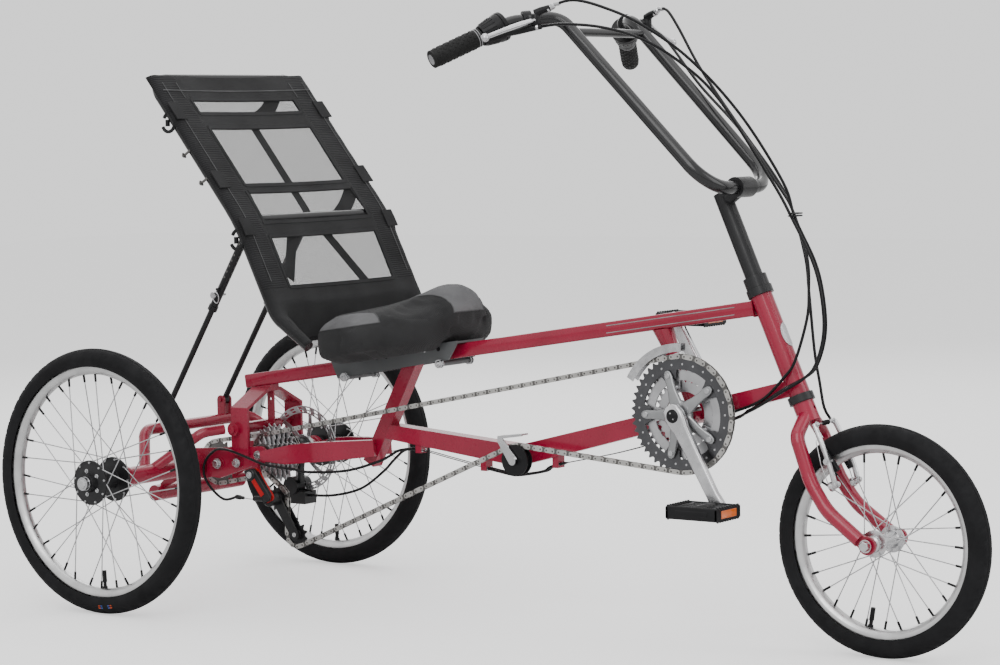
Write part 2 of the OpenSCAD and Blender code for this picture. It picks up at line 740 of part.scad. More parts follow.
module front_tyre() color(blackish) place() at_front() tyre(front_tyre_d);
module front_wheel() color(silver) place() at_front()
    spoked_wheel(front_tyre_d, front_spokes, 22, -31, 31, 30, 9.6, [-fork_gap / 2 + 2, fork_gap / 2 - 2]);
module at_front() translate([front_c.x, 0, front_c.y]) rotate([90, 0, 0]) children();

// ---- Steering ----

crown_d = 36;
crown_hole_s = 243;
crown_hole_d = 6.2;
module fork() color(cherry) place() {
    y_end = fork_gap / 2 + 3;
    difference() {
        union() {
            rod(hp(cup_low_s - 4, 0), hp(cup_top_s + 8, 0), steerer_d);
            rod(hp(cup_low_s - 34, 0), hp(cup_low_s - turn_gap, 0), crown_d);
        }
        rod(hp(crown_hole_s, -crown_d), hp(crown_hole_s, crown_d), crown_hole_d);
    }
    both() {
        bent([hp(cup_low_s - 24, 0, 10), hp(206, -10, 42), hp(128, -13, 47), hp(76, -2, 50),
              hp(12, 36, y_end)], [26, 120, 90], 23);
        difference() {
            side(fork_gap / 2, fork_gap / 2 + 6) {
                circle_at(front_c, 30);
                polygon([front_c + [-12, -6], front_c + [6, 12], flat(hp(26, 36)), flat(hp(26, 18))]);
            }
            pin(front_c, 0, 100, 9.6);
        }
        pin(front_c, fork_gap / 2 + 6, fork_gap / 2 + 14, 17);
    }
    pin(front_c, -fork_gap / 2 - 18, fork_gap / 2 + 18, 9);
}

stem_s = 630;
clamp_p = hp(624, 39);
module stem() color(blackish) place() {
    difference() {
        union() {
            rod(hp(cup_top_s + turn_gap, 0), hp(stem_s, 0), 30);
            rod(hp(cup_top_s + turn_gap, 0), hp(cup_top_s + 20, 0), head_tube_d + 4);
            rod(hp(stem_s - 14, 2), clamp_p, 25);
            pin([clamp_p.x, clamp_p.z], -23, 23, bar_d + 12);
        }
        pin([clamp_p.x, clamp_p.z], -24, 24, bar_d);
        rod(hp(cup_top_s - eps, 0), hp(cup_top_s + 8, 0), steerer_d);
    }
}

bar_low = clamp_p + [0, 100, 0];
bar_top = clamp_p + [-283, 108, 287];
bar_knee = clamp_p + [-338, 170, 280];
bar_end = clamp_p + [-408, 293, 220];
bar_u = unit(bar_end - bar_knee);
cross_d = 15;
module handlebar() color(blackish) place() {
    bent(whole([bar_low, bar_top, bar_knee, bar_end]), whole_r([58, 36, 60]), bar_d);
    cross_p = bar_top - 36 * unit(bar_top - bar_low);
    rod(cross_p - [0, 2 * cross_p.y, 0], cross_p, cross_d);
}

// Ring around the bar's end stretch, from a to b back from its end
module on_bar(a, b, d) difference() {
    rod(bar_end - b * bar_u, bar_end - a * bar_u, d);
    rod(bar_end - (b + eps) * bar_u, bar_end - (a - eps) * bar_u, bar_d + 2 * grip_fit);
}

module grips() color(blackish) place() both() {
    on_bar(0, 92, grip_d);
    rod(bar_end, bar_end + 4 * bar_u, grip_d - 2);
}

// Twist shifters: a cone that grows towards the lever, and the barrel of the cable
module shifters() color(blackish) place() both() {
    difference() {
        union() {
            cone(bar_end - 93 * bar_u, bar_end - 128 * bar_u, grip_d + 4, 50);
            rod(bar_end - 128 * bar_u, bar_end - 137 * bar_u, 50);
            cone(bar_end - 131 * bar_u + lever_fwd * 12 - [0, 0, 10], shift_out, 15, 8);
        }
        rod(bar_end - 142 * bar_u, bar_end - 90 * bar_u, bar_d + 2 * grip_fit);
    }
}

// Where the cables leave the left shifter and the left lever, and the lever's direction
lever_fwd = unit(cross(bar_u, [0, 0, 1]));
lever_ring = bar_knee + 26 * unit(bar_top - bar_knee);
lever_pivot = lever_ring + 36 * lever_fwd;
lever_tip = clamp_p + [-310, 283, 251];
shift_out = clamp_p + [-278, 168, 270];
brake_out = clamp_p + [-258, 158, 306];

module brake_levers() color(silver) place() both() {
    bar_v = unit(bar_top - bar_knee);
    difference() {
        union() {
            rod(lever_ring - 7 * bar_v, lever_ring + 7 * bar_v, bar_d + 10);
            rod(lever_ring + 13 * lever_fwd, lever_pivot, 12);
            rod(lever_pivot + [0, 0, 10], brake_out, 11);
        }
        rod(lever_ring - 9 * bar_v, lever_ring + 9 * bar_v, bar_d);
    }
    rod(lever_pivot, lever_tip, 9);
    rod(lever_pivot - [0, 0, 8], lever_pivot + [0, 0, 8], 16);
    translate(lever_tip) rotate_extrude() intersection() {
        circle(d = 14);
        translate([0, -7]) square([7, 14]);
    }
}

// ---- Cables ----

cable_d = 5;
// From the grips down in front of the head tube, to the entry under the lower beam
right_brake_pts = [[903, -158, 1065], [941, -160, 1070], [989, -153, 1058], [1050, -130, 1028],
    [1120, -90, 968], [1187, -46, 877], [1243, -9, 767], [1262, -4, 708], [1297, 0, 635],
    [1312, -1, 576], [1315, -3, 520], [1305, -13, 471], [1287, -21, 451], [1248, -25, 430],
    [1205, -20, 405], [1174, -13, 391]];
right_shift_pts = [[883, -169, 1029], [930, -174, 1031], [995, -162, 1024], [1056, -140, 1004],
    [1110, -105, 964], [1163, -72, 902], [1229, -22, 770], [1262, -12, 706], [1297, -8, 635],
    [1312, -8, 576], [1315, -10, 520], [1305, -20, 471], [1287, -28, 449], [1248, -32, 426],
    [1205, -28, 402], [1174, -20, 388]];
left_shift_pts = [[883, 169, 1029], [925, 150, 1006], [1013, 110, 930], [1122, 60, 852], [1226, 10, 757],
    [1254, 4, 718], [1282, -2, 646], [1288, -8, 589], [1287, -14, 544], [1269, -23, 476],
    [1247, -25, 447], [1212, -22, 415], [1178, -20, 398]];
left_brake_pts = [[903, 158, 1065], [922, 153, 1061], [952, 141, 1030], [1008, 120, 959],
    [1103, 75, 869], [1211, 24, 773], [1249, 12, 718], [1271, 12, 644], [1277, 12, 588],
    [1287, 10, 493], [1296, 10, 441],
    [1302, 13, 400], [1307, 24, 381]];
// From that entry along the frame: to the rear derailleur, the disc brake and the front derailleur
rear_shift_pts = [[1172.2, -20, 387.6], [1146, -9, 376], [1057, -8, 348], [916, -8, 308], [784, -8, 279],
    [758, -8, 267], [726, -8, 260], [694, -8, 256], [661, -8, 260], [629, -8, 265], [552, -8, 278],
    [484, -8, 289], [442, -12, 287], [425, -20, 277], [405, -30, 266], [354, -60, 250],
    [283, -82, 246], [253, -88, 250], [192, -96, 256], [134, -96, 271], [92, -90, 278], [61, -84, 275],
    [35, -80, 258], [26, -80, 240], [29, -80, 220], [48, -80, 198], [78, -82, 183], [110, -84, 190]];
rear_brake_pts = [[1172.2, -13, 390.6], [1146, 1, 378], [1057, 2, 348], [916, 2, 308], [784, 2, 279],
    [758, 2, 267], [726, 2, 260], [694, 2, 256], [661, 2, 260], [629, 2, 265], [552, 2, 278],
    [484, 2, 289], [442, 5, 286], [405, 16, 264], [372, 26, 240], [310, 38, 204], [240, 44, 186],
    [177, 44, 182]];
front_shift_pts = [[1177, -20, 398], [1140, -21, 384], [1105, -20, 364], [1066, -20, 356],
    [1034, -20, 366], [1018, -20, 390], [1003, -20, 430], [1000, -20, 462]];

// Round cord along a smooth curve through the points p, as a ring of corners at each step
module cord(p, d) {
    c = smooth(p);
    last = len(c) - 1;
    sides = 8;
    rings = [for (i = [0:last]) let (t = unit(c[min(i + 1, last)] - c[max(i - 1, 0)]),
                                     u = unit(cross(t, [0, 1, 0])), w = cross(t, u))
             for (k = [0:sides - 1]) c[i] + d / 2 * (cos(360 * k / sides) * u + sin(360 * k / sides) * w)];
    walls = [for (i = [0:last - 1]) for (k = [0:sides - 1])
             let (a = i * sides + k, b = i * sides + (k + 1) % sides)
             each [[a, b + sides, b], [a, a + sides, b + sides]]];
    ends = [[for (k = [0:sides - 1]) k], [for (k = [sides - 1:-1:0]) last * sides + k]];
    polyhedron(rings, concat(walls, ends));
}
// Points about every two and a half diameters on the curve through p
function smooth(p) = concat(
    [for (i = [0:len(p) - 2]) let (n = ceil(norm(p[i + 1] - p[i]) / (2.5 * cable_d)))
     for (k = [0:n - 1]) curve_at(p[max(i - 1, 0)], p[i], p[i + 1], p[min(i + 2, len(p) - 1)], k / n)],
    [p[len(p) - 1]]);
function curve_at(a, b, c, d, t) =
    b + t / 2 * (c - a) + t * t / 2 * (2 * a - 5 * b + 4 * c - d) + t * t * t / 2 * (3 * b - a - 3 * c + d);

module steering_cables() color(blackish) place()
    for (p = [right_brake_pts, right_shift_pts, left_shift_pts]) cord(p, cable_d);
module front_brake_cable() color(blackish) place() cord(left_brake_pts, cable_d);
module frame_cables() color(blackish) place()
    for (p = [rear_shift_pts, rear_brake_pts, front_shift_pts]) cord(p, cable_d);

// Stops under the lower beam, each with two holes: [x, z] and the cables' slope there
guide_at = [[1128, 371, 18], [1000, 332, 16], [784, 279, 16], [629, 265, -9], [484, 289, -7]];
module cable_guides() color(cherry) place()
    difference() {
        for (c = guide_at) translate([c.x - 6, -13, c.y - 5]) cube([12, 20, 30]);
        side(-lower_w, lower_w) polygon(lower_outline);
        for (c = guide_at) for (y = [-8, 2])
            translate([c.x, y, c.y]) rotate([0, 90 - c[2], 0])
                translate([0, 0, -12]) cylinder(h = 24, d = cable_d + 2);
    }

// ---- Brake ----

module front_brake() color(silver) place() both() {
    boss = hp(110, 16, 36);
    rod(hp(110, 4, 44), boss, 9);
    rod(hp(104, 19, 36), hp(212, 24, 34), 9);
    pad_c = hp(150, 24, 20);
    pad_turn = atan((fork_rake - 24) / 150);
    rod(hp(150, 21, 34), pad_c, 7);
    translate(pad_c) rotate([0, head_angle - 90 - pad_turn, 0]) translate([-20, -5.5, -4]) cube([40, 7, 8]);
}

// ---- Seat ----

module seat_bracket() color(cloth) place() {
    x0 = hinge.x - 9;
    x1 = hinge.x + 278;
    h0 = 30;
    z0 = beam_z(x0) + beam_hz;
    z1 = beam_z(x1) + beam_hz;
    t = bracket_t;
    zt = z0 + beam_slope * 24;
    side(-38, 38) polygon([[x0 + 24, zt], [x1, z1], [x1, z1 + t], [x0 + 24, zt + t]]);
    both() side(36, 40)
        polygon([[x0, z0 + 14], [x0, z0], [x0 + 14, z0 - h0], [x1 - 20, z1 - h0], [x1, z1],
                 [x1, z1 + t + 1], [x0 + 19, z0 + beam_slope * 19 + t + 1], [x0 + 18, z0 + 18]]);
    for (x = [x0 + 34, x1 - 36]) pin([x, beam_z(x) - beam_hz - 6], -46, 46, 10);
    pin(hinge, -43, 43, 8);
}

module seat_cushion() color(cloth) place() {
    slope = beam_slope;
    x0 = seat_x - cushion_l / 2;
    x1 = seat_x + cushion_l / 2;
    z0 = cushion_z0 - slope * cushion_l / 2;
    z1 = cushion_z0 + slope * cushion_l / 2;
    h = cushion_h;
    intersection() {
        side(-cushion_w / 2, cushion_w / 2)
            polygon([[x0, z0], [x1, z1], [x1, z1 + h - 15], [x1 - 16, z1 + h + 13], [x1 - 60, z1 + h + 3],
                     [seat_x, cushion_z0 + h], [x0 + 20, z0 + h], [x0, z0 + h - 14]]);
        translate([seat_x, 0, 0]) linear_extrude(900)
            polygon([for (a = [0:10:350]) [cushion_l * rounded(cos(a)), cushion_w * rounded(sin(a))] / 2]);
    }
}
// Squares off a sine so that an ellipse becomes a rounded rectangle
function rounded(c) = sign(c) * pow(abs(c), 0.72);

module seat_back_frame() color(blackish) place() {
    cross_d = 15;
    rail = [for (q = back_pts) at_y(q, back_y)];
    low = back_pts[2] - 22 * unit(back_pts[2] - back_pts[1]);
    brace = strut_head_c + 20 * strut_dir;
    brace_c = back_line(brace.y);
    difference() {
        union() {
            bent(whole(rail), whole_r([44, back_bends[0], back_bends[1]]), back_tube_d);
            for (c = [low, brace_c]) rod(at_y(c, -back_y), at_y(c, back_y), cross_d);
            // Tabs down to the hinge, and tabs back to the struts
            both() side(28, 34) {
                polygon([low + [-6, 0], hinge + [-9, 0], hinge + [9, 0], low + [6, 0]]);
                circle_at(hinge, 20);
            }
            both() for (y = [strut_y - 13, strut_y + 9]) side(y, y + 4) {
                polygon([brace_c + [3, 5], brace_c - [3, 5],
                         strut_head_c + [-4, -8], strut_head_c + [-4, 8]]);
                circle_at(strut_head_c, 17);
            }
        }
        pin(hinge, -60, 60, 8.4);
    }
    both() pin(strut_head_c, strut_y - 16, strut_y + 16, 7);
}

// Point of the back tube's upper stretch at height z
function back_line(z) = let (a = back_pts[0], b = back_pts[1]) a + (b - a) * (z - a.y) / (b.y - a.y);

module seat_back_sling() color(cloth) place() {
    gap = back_tube_d / 2 + 0.5;
    t = 4;
    a = sling_line(gap);
    b = sling_line(gap + t);
    cut_x = seat_x - cushion_l / 2 - 9;
    cut_y = cushion_w / 2 + 6;
    difference() {
        side(-back_w / 2, back_w / 2) polygon(concat(a, [for (i = [len(b) - 1:-1:0]) b[i]]));
        // Room for the cushion between the two side wings
        translate([cut_x, -cut_y, hinge.y - 40]) cube([200, 2 * cut_y, 200]);
    }
}
// Points in front of the back tube's centre line, off away from it
function sling_line(off) =
    let (p = back_pts, n = [for (i = [0:2]) let (d = unit(p[i + 1] - p[i])) [-d.y, d.x]])
    [p[0] + off * n[0],
     for (k = [0:6]) corner(p[1], n[0], n[1], back_bends[0], off, k / 6),
     for (k = [0:6]) corner(p[2], n[1], n[2], back_bends[1], off, k / 6),
     p[3] + off * n[2]];
// Point on a rounded corner of the sling's outline; s runs from 0 to 1 along the bend
function corner(c, n0, n1, r, off, s) =
    let (turn = acos(n0 * n1), side_k = sign(n0.x * n1.y - n0.y * n1.x), mid = unit(n0 + n1),
         centre = c + side_k * mid * r / cos(turn / 2), m = unit(n0 * (1 - s) + n1 * s))
    centre - side_k * (r - side_k * off) * m;

module strut_rods() color(blackish) place() both() {
    a = at_y(strut_foot_c, strut_y);
    u = [strut_dir.x, 0, strut_dir.y];
    difference() {
        union() {
            rod(a, a + (strut_len - 70) * u, rod_d);
            pin(strut_foot_c, strut_y - 6, strut_y + 6, 17);
        }
        pin(strut_foot_c, strut_y - 20, strut_y + 20, 8.6);
    }
}

module strut_sleeves() color(blackish) place() both() {
    a = at_y(strut_head_c, strut_y);
    u = [strut_dir.x, 0, strut_dir.y];
    low = a - sleeve_l * u;
    difference() {
        union() {
            rod(low, a - 4 * u, sleeve_d);
            rod(low, low + 8 * u, sleeve_d + 3);
            pin(strut_head_c, strut_y - 7, strut_y + 7, 18);
            pin([(low + 45 * u).x, (low + 45 * u).z], strut_y + 6, strut_y + 14, 5);
        }
        rod(low - eps * u, a - 14 * u, rod_d + 0.8);
        pin(strut_head_c, strut_y - 20, strut_y + 20, 9);
    }
}

upper_beam();
diagonal_strut();
lower_beam();
front_mast();
head_tube();
headset_cups();
rear_yoke();
rear_stays();
rear_hoop();
axle_housings();
hub_plates();
chainstays();
mid_axle();
brake_caliper();
rear_derailleur();
front_derailleur();
idler_bracket();
drive_chain();
axle_chain();
seat_bracket();
seat_cushion();
fork();
stem();
handlebar();
grips();
shifters();
brake_levers();
front_brake();
front_tyre();
front_wheel();
rear_right_tyre();
rear_right_wheel();
rear_left_tyre();
rear_left_wheel();
rear_axle();
axle_sprocket();
mid_hub();
cassette();
brake_disc();
chainrings();
crank_arms();
right_pedal();
left_pedal();
idler_wheel();
seat_back_frame();
seat_back_sling();
strut_rods();
strut_sleeves();
steering_cables();
front_brake_cable();
frame_cables();
cable_guides();
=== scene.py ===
"""Looks of the recumbent trike. All shapes are drawn in millimetres in the trike's side frame:
x forward from the rear axle, y to the left, z up from the floor; piece() turns them to metres."""
import json
import math

import bmesh
import bpy
import numpy as np
from mathutils import Matrix, Vector


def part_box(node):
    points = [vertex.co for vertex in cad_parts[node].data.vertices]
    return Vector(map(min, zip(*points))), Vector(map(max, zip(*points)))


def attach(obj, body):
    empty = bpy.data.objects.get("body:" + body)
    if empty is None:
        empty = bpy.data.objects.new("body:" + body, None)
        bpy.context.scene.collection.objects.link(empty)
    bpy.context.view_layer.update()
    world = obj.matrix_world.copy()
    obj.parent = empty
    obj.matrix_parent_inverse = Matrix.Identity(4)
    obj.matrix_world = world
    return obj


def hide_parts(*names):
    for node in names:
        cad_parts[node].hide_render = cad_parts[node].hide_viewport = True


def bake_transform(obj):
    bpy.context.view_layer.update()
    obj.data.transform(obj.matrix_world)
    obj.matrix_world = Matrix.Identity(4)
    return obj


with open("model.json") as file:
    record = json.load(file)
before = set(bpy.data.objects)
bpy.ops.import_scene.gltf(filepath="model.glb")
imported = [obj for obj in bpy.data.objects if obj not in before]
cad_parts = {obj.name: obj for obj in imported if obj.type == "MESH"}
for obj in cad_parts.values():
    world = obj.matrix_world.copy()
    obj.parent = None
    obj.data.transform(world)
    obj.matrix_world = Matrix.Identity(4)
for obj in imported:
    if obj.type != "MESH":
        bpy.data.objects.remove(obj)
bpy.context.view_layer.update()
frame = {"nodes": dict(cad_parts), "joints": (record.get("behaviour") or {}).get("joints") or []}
nodes = frame["nodes"]
joint_at = {j["name"]: [1000 * c for c in j["pos_m"]] for j in frame["joints"]}
X_MID = -joint_at["rear_right_spin"][0]


def centre(joint):
    """The joint's place in the side frame, as (x, z)."""
    return joint_at[joint][0] + X_MID, joint_at[joint][2]


# ---- Driving sizes, mm ----
REAR = centre("rear_right_spin")
FRONT = centre("front_wheel_spin")
BB = centre("crank_spin")
MID = centre("mid_drive_spin")
IDLER = centre("idler_spin")
HINGE = centre("backrest_recline")
REAR_Y = -joint_at["rear_right_spin"][1]
REAR_R = 241.0
FRONT_R = 189.5
TYRE_W = 40.0
TYRE_H = 32.0
RIM_H = 15.0
PITCH = 12.7
CHAIN_Y = -46.0
AXLE_CHAIN_Y = -6.0
CRANK_L = 170.0
CRANK_ANGLE = -60.0
SPIDER_ANGLE = 38.0
RING_TEETH = (48, 38, 28)
COG_TEETH = 18
AXLE_COG_TEETH = 20
JOCKEY_TEETH = 11
IDLER_TEETH = 13
COG_STEP = 5.2
HEAD_ANGLE = math.radians(66.5)
FORK_RAKE = 46.0
BEAM = 25.4
BEAM_TAIL = (REAR[0] + 76, REAR[1] + 157)
BEAM_SLOPE = 0.1463
STRUT_FOOT = Vector((REAR[0] - 60, 0, REAR[1] + 109))
GUIDE = (MID[0] + 19, MID[1] - 82)
TENSION = (MID[0] + 62, MID[1] - 147)
SLING_SAG = 5.0
CABLE_D = 5.0


def head(s, f, y=0.0):
    """Point s along the steering axis, f in front of it and y to the left."""
    return (FRONT[0] - s * math.cos(HEAD_ANGLE) + (f - FORK_RAKE) * math.sin(HEAD_ANGLE), y,
            FRONT[1] + s * math.sin(HEAD_ANGLE) + (f - FORK_RAKE) * math.cos(HEAD_ANGLE))


def beam_z(x):
    """Height of the upper beam's centre line at x."""
    return BEAM_TAIL[1] + (x - BEAM_TAIL[0]) * BEAM_SLOPE


# ---- Materials ----
def shader(name, color, rough, metal=0.0, coat=0.0, specular=0.5, sheen=0.0):
    """A new Principled material."""
    mat = bpy.data.materials.new(name)
    mat.use_nodes = True
    bsdf = mat.node_tree.nodes["Principled BSDF"]
    bsdf.inputs["Base Color"].default_value = (*color, 1)
    bsdf.inputs["Roughness"].default_value = rough
    bsdf.inputs["Metallic"].default_value = metal
    bsdf.inputs["Coat Weight"].default_value = coat
    bsdf.inputs["Coat Roughness"].default_value = 0.06
    bsdf.inputs["Specular IOR Level"].default_value = specular
    bsdf.inputs["Sheen Weight"].default_value = sheen
    return mat


def node(mat, kind, links=(), **values):
    """Adds a node; links are (input name, socket) pairs and values are its properties."""
    n = mat.node_tree.nodes.new(kind)
    for key, value in values.items():
        setattr(n, key, value)
    for key, socket in links:
        if isinstance(socket, bpy.types.NodeSocket):
            mat.node_tree.links.new(socket, n.inputs[key])
        else:
            n.inputs[key].default_value = socket
    return n


def bsdf_in(mat, name, socket):
    mat.node_tree.links.new(socket, mat.node_tree.nodes["Principled BSDF"].inputs[name])


def coords(mat, which="Object"):
    return node(mat, "ShaderNodeTexCoord").outputs[which]


def noise(mat, scale, detail=2.0, which="Object"):
    return node(mat, "ShaderNodeTexNoise", [("Vector", coords(mat, which)), ("Scale", scale),
                                            ("Detail", detail)]).outputs["Fac"]


def spread(mat, fac, low, high):
    """Maps a factor of about 0.3 to 0.7 to low to high."""
    return node(mat, "ShaderNodeMapRange", [("Value", fac), ("From Min", 0.3), ("From Max", 0.7),
                                            ("To Min", low), ("To Max", high)]).outputs["Result"]


def vary(mat, fac, dark, light):
    """Colour from dark to light by a factor."""
    ramp = node(mat, "ShaderNodeValToRGB", [("Fac", fac)])
    ramp.color_ramp.elements[0].position = 0.3
    ramp.color_ramp.elements[1].position = 0.7
    ramp.color_ramp.elements[0].color = (*dark, 1)
    ramp.color_ramp.elements[1].color = (*light, 1)
    bsdf_in(mat, "Base Color", ramp.outputs["Color"])


def bump(mat, height, distance, strength=0.5, edge=0.0):
    """Bump from a height; edge rounds sharp corners by that radius, in metres."""
    links = [("Height", height), ("Distance", distance), ("Strength", strength)]
    if edge:
        links.append(("Normal", node(mat, "ShaderNodeBevel", [("Radius", edge)], samples=4).outputs[0]))
    bsdf_in(mat, "Normal", node(mat, "ShaderNodeBump", links).outputs["Normal"])


def waves(mat, size, which="UV", axes=("X", "Y")):
    """Woven height: crossing sine rows of the given pitch, in metres."""
    parts = node(mat, "ShaderNodeSeparateXYZ", [("Vector", coords(mat, which))])
    out = None
    for axis in axes:
        turns = node(mat, "ShaderNodeMath", [(0, parts.outputs[axis]), (1, 2 * math.pi / size)],
                     operation="MULTIPLY")
        row = node(mat, "ShaderNodeMath", [(0, turns.outputs[0])], operation="SINE").outputs[0]
        if out is None:
            out = row
        else:
            out = node(mat, "ShaderNodeMath", [(0, out), (1, row)], operation="MULTIPLY").outputs[0]
    return out


def paint(name, dark, light, rough=0.28, coat=0.7, specular=0.3):
    """Sprayed paint: slight colour flow, orange peel and rounded edges."""
    mat = shader(name, light, rough, coat=coat, specular=specular)
    vary(mat, noise(mat, 9), dark, light)
    bsdf_in(mat, "Roughness", spread(mat, noise(mat, 60), rough - 0.05, rough + 0.07))
    bump(mat, noise(mat, 420), 0.0002, 0.12, edge=0.0012)
    return mat


def metal(name, color, rough, grain=300.0, edge=0.0006):
    """Bare metal with fine scratches and uneven polish."""
    mat = shader(name, color, rough, metal=1.0)
    vary(mat, noise(mat, 35), [c * 0.82 for c in color], color)
    bsdf_in(mat, "Roughness", spread(mat, noise(mat, 90), rough - 0.07, rough + 0.1))
    stretch = node(mat, "ShaderNodeMapping", [("Vector", coords(mat)), ("Scale", (1, 9, 1))])
    fine = node(mat, "ShaderNodeTexNoise", [("Vector", stretch.outputs[0]), ("Scale", grain)])
    bump(mat, fine.outputs["Fac"], 0.0001, 0.25, edge=edge)
    return mat


def plastic(name, color, rough, scale=500.0, depth=0.0002, specular=0.22):
    """Moulded plastic or rubber with a fine grain."""
    mat = shader(name, color, rough, specular=specular)
    vary(mat, noise(mat, 24), [c * 0.75 for c in color], [c * 1.2 for c in color])
    bsdf_in(mat, "Roughness", spread(mat, noise(mat, 70), rough - 0.08, rough + 0.08))
    bump(mat, noise(mat, scale), depth, 0.5, edge=0.0008)
    return mat


def fabric(name, color, size, which="UV", axes=("X", "Y"), rough=0.82, depth=0.0006):
    """Woven cloth: thread rows, fuzz and uneven dye."""
    mat = shader(name, color, rough, specular=0.12, sheen=0.06)
    vary(mat, noise(mat, 14, 4.0), [c * 0.75 for c in color], [c * 1.25 for c in color])
    weave = waves(mat, size, which, axes)
    fuzz = node(mat, "ShaderNodeMath", [(0, weave), (1, noise(mat, 700))], operation="ADD")
    bump(mat, fuzz.outputs[0], depth, 0.7)
    return mat


def netting(name, color, size):
    """See-through mesh: threads with holes between them."""
    mat = fabric(name, color, size)
    parts = node(mat, "ShaderNodeSeparateXYZ", [("Vector", coords(mat, "UV"))])
    holes = []
    for axis in ("X", "Y"):
        turns = node(mat, "ShaderNodeMath", [(0, parts.outputs[axis]), (1, 1 / size)],
                     operation="MULTIPLY").outputs[0]
        part = node(mat, "ShaderNodeMath", [(0, turns)], operation="FRACT").outputs[0]
        holes.append(node(mat, "ShaderNodeMath", [(0, part), (1, 0.37)],
                          operation="GREATER_THAN").outputs[0])
    hole = node(mat, "ShaderNodeMath", [(0, holes[0]), (1, holes[1])], operation="MULTIPLY")
    solid = node(mat, "ShaderNodeMath", [(0, 1.0), (1, hole.outputs[0])], operation="SUBTRACT")
    bsdf_in(mat, "Alpha", solid.outputs[0])
    return mat


CHERRY = paint("cherry_paint", (0.29, 0.006, 0.03), (0.36, 0.008, 0.042), coat=0.45)
BLACK_GLOSS = paint("black_gloss", (0.008, 0.008, 0.009), (0.016, 0.016, 0.017), rough=0.2, coat=0.35)
BLACK_METAL = paint("black_metal", (0.006, 0.006, 0.007), (0.013, 0.013, 0.014), rough=0.38, coat=0.1)
PLATE_GREY = paint("bracket_grey", (0.07, 0.073, 0.075), (0.12, 0.124, 0.127), rough=0.4, coat=0.1)
SILVER = metal("silver_metal", (0.60, 0.60, 0.61), 0.24)
SATIN = metal("satin_alloy", (0.50, 0.50, 0.51), 0.36)
RIM_ALLOY = metal("rim_alloy", (0.62, 0.62, 0.62), 0.33)
SPIDER_GREY = metal("spider_grey", (0.34, 0.345, 0.35), 0.33)
CHAIN_LIGHT = metal("chain_plates", (0.52, 0.51, 0.49), 0.32)
CHAIN_DARK = metal("chain_steel", (0.16, 0.155, 0.15), 0.4)
RING_DARK = metal("ring_steel", (0.10, 0.10, 0.105), 0.36)
RUBBER = plastic("tyre_rubber", (0.011, 0.011, 0.012), 0.72, scale=900, specular=0.15)
GRIP = plastic("grip_rubber", (0.007, 0.007, 0.007), 0.6)
BLACK_PLASTIC = plastic("black_plastic", (0.007, 0.007, 0.008), 0.4)
HOUSING = plastic("cable_housing", (0.005, 0.005, 0.006), 0.3)
GREY_PLASTIC = plastic("grey_plastic", (0.32, 0.32, 0.33), 0.45)
WEBBING = fabric("seat_webbing", (0.022, 0.022, 0.023), 0.0042, axes=("Y",))
CLOTH = fabric("seat_fabric", (0.026, 0.026, 0.027), 0.0018)
NET = netting("seat_net", (0.035, 0.035, 0.036), 0.0018)
THREAD = plastic("stitching", (0.09, 0.09, 0.092), 0.7)
CUSHION_DARK = fabric("cushion_side", (0.034, 0.034, 0.035), 0.0022, "Object", ("X", "Z"))
CUSHION_GREY = fabric("cushion_top", (0.16, 0.16, 0.165), 0.0022, "Object", ("X", "Y"))
AMBER = shader("amber_reflector", (0.85, 0.16, 0.01), 0.2, coat=1.0)
bump(AMBER, waves(AMBER, 0.003, "Object"), 0.0006, 0.8)
RED_PLASTIC = plastic("red_plastic", (0.5, 0.01, 0.012), 0.35)
ORANGE = plastic("tyre_stripe_orange", (0.65, 0.09, 0.02), 0.6)
BLUE = plastic("tyre_stripe_blue", (0.05, 0.12, 0.4), 0.6)


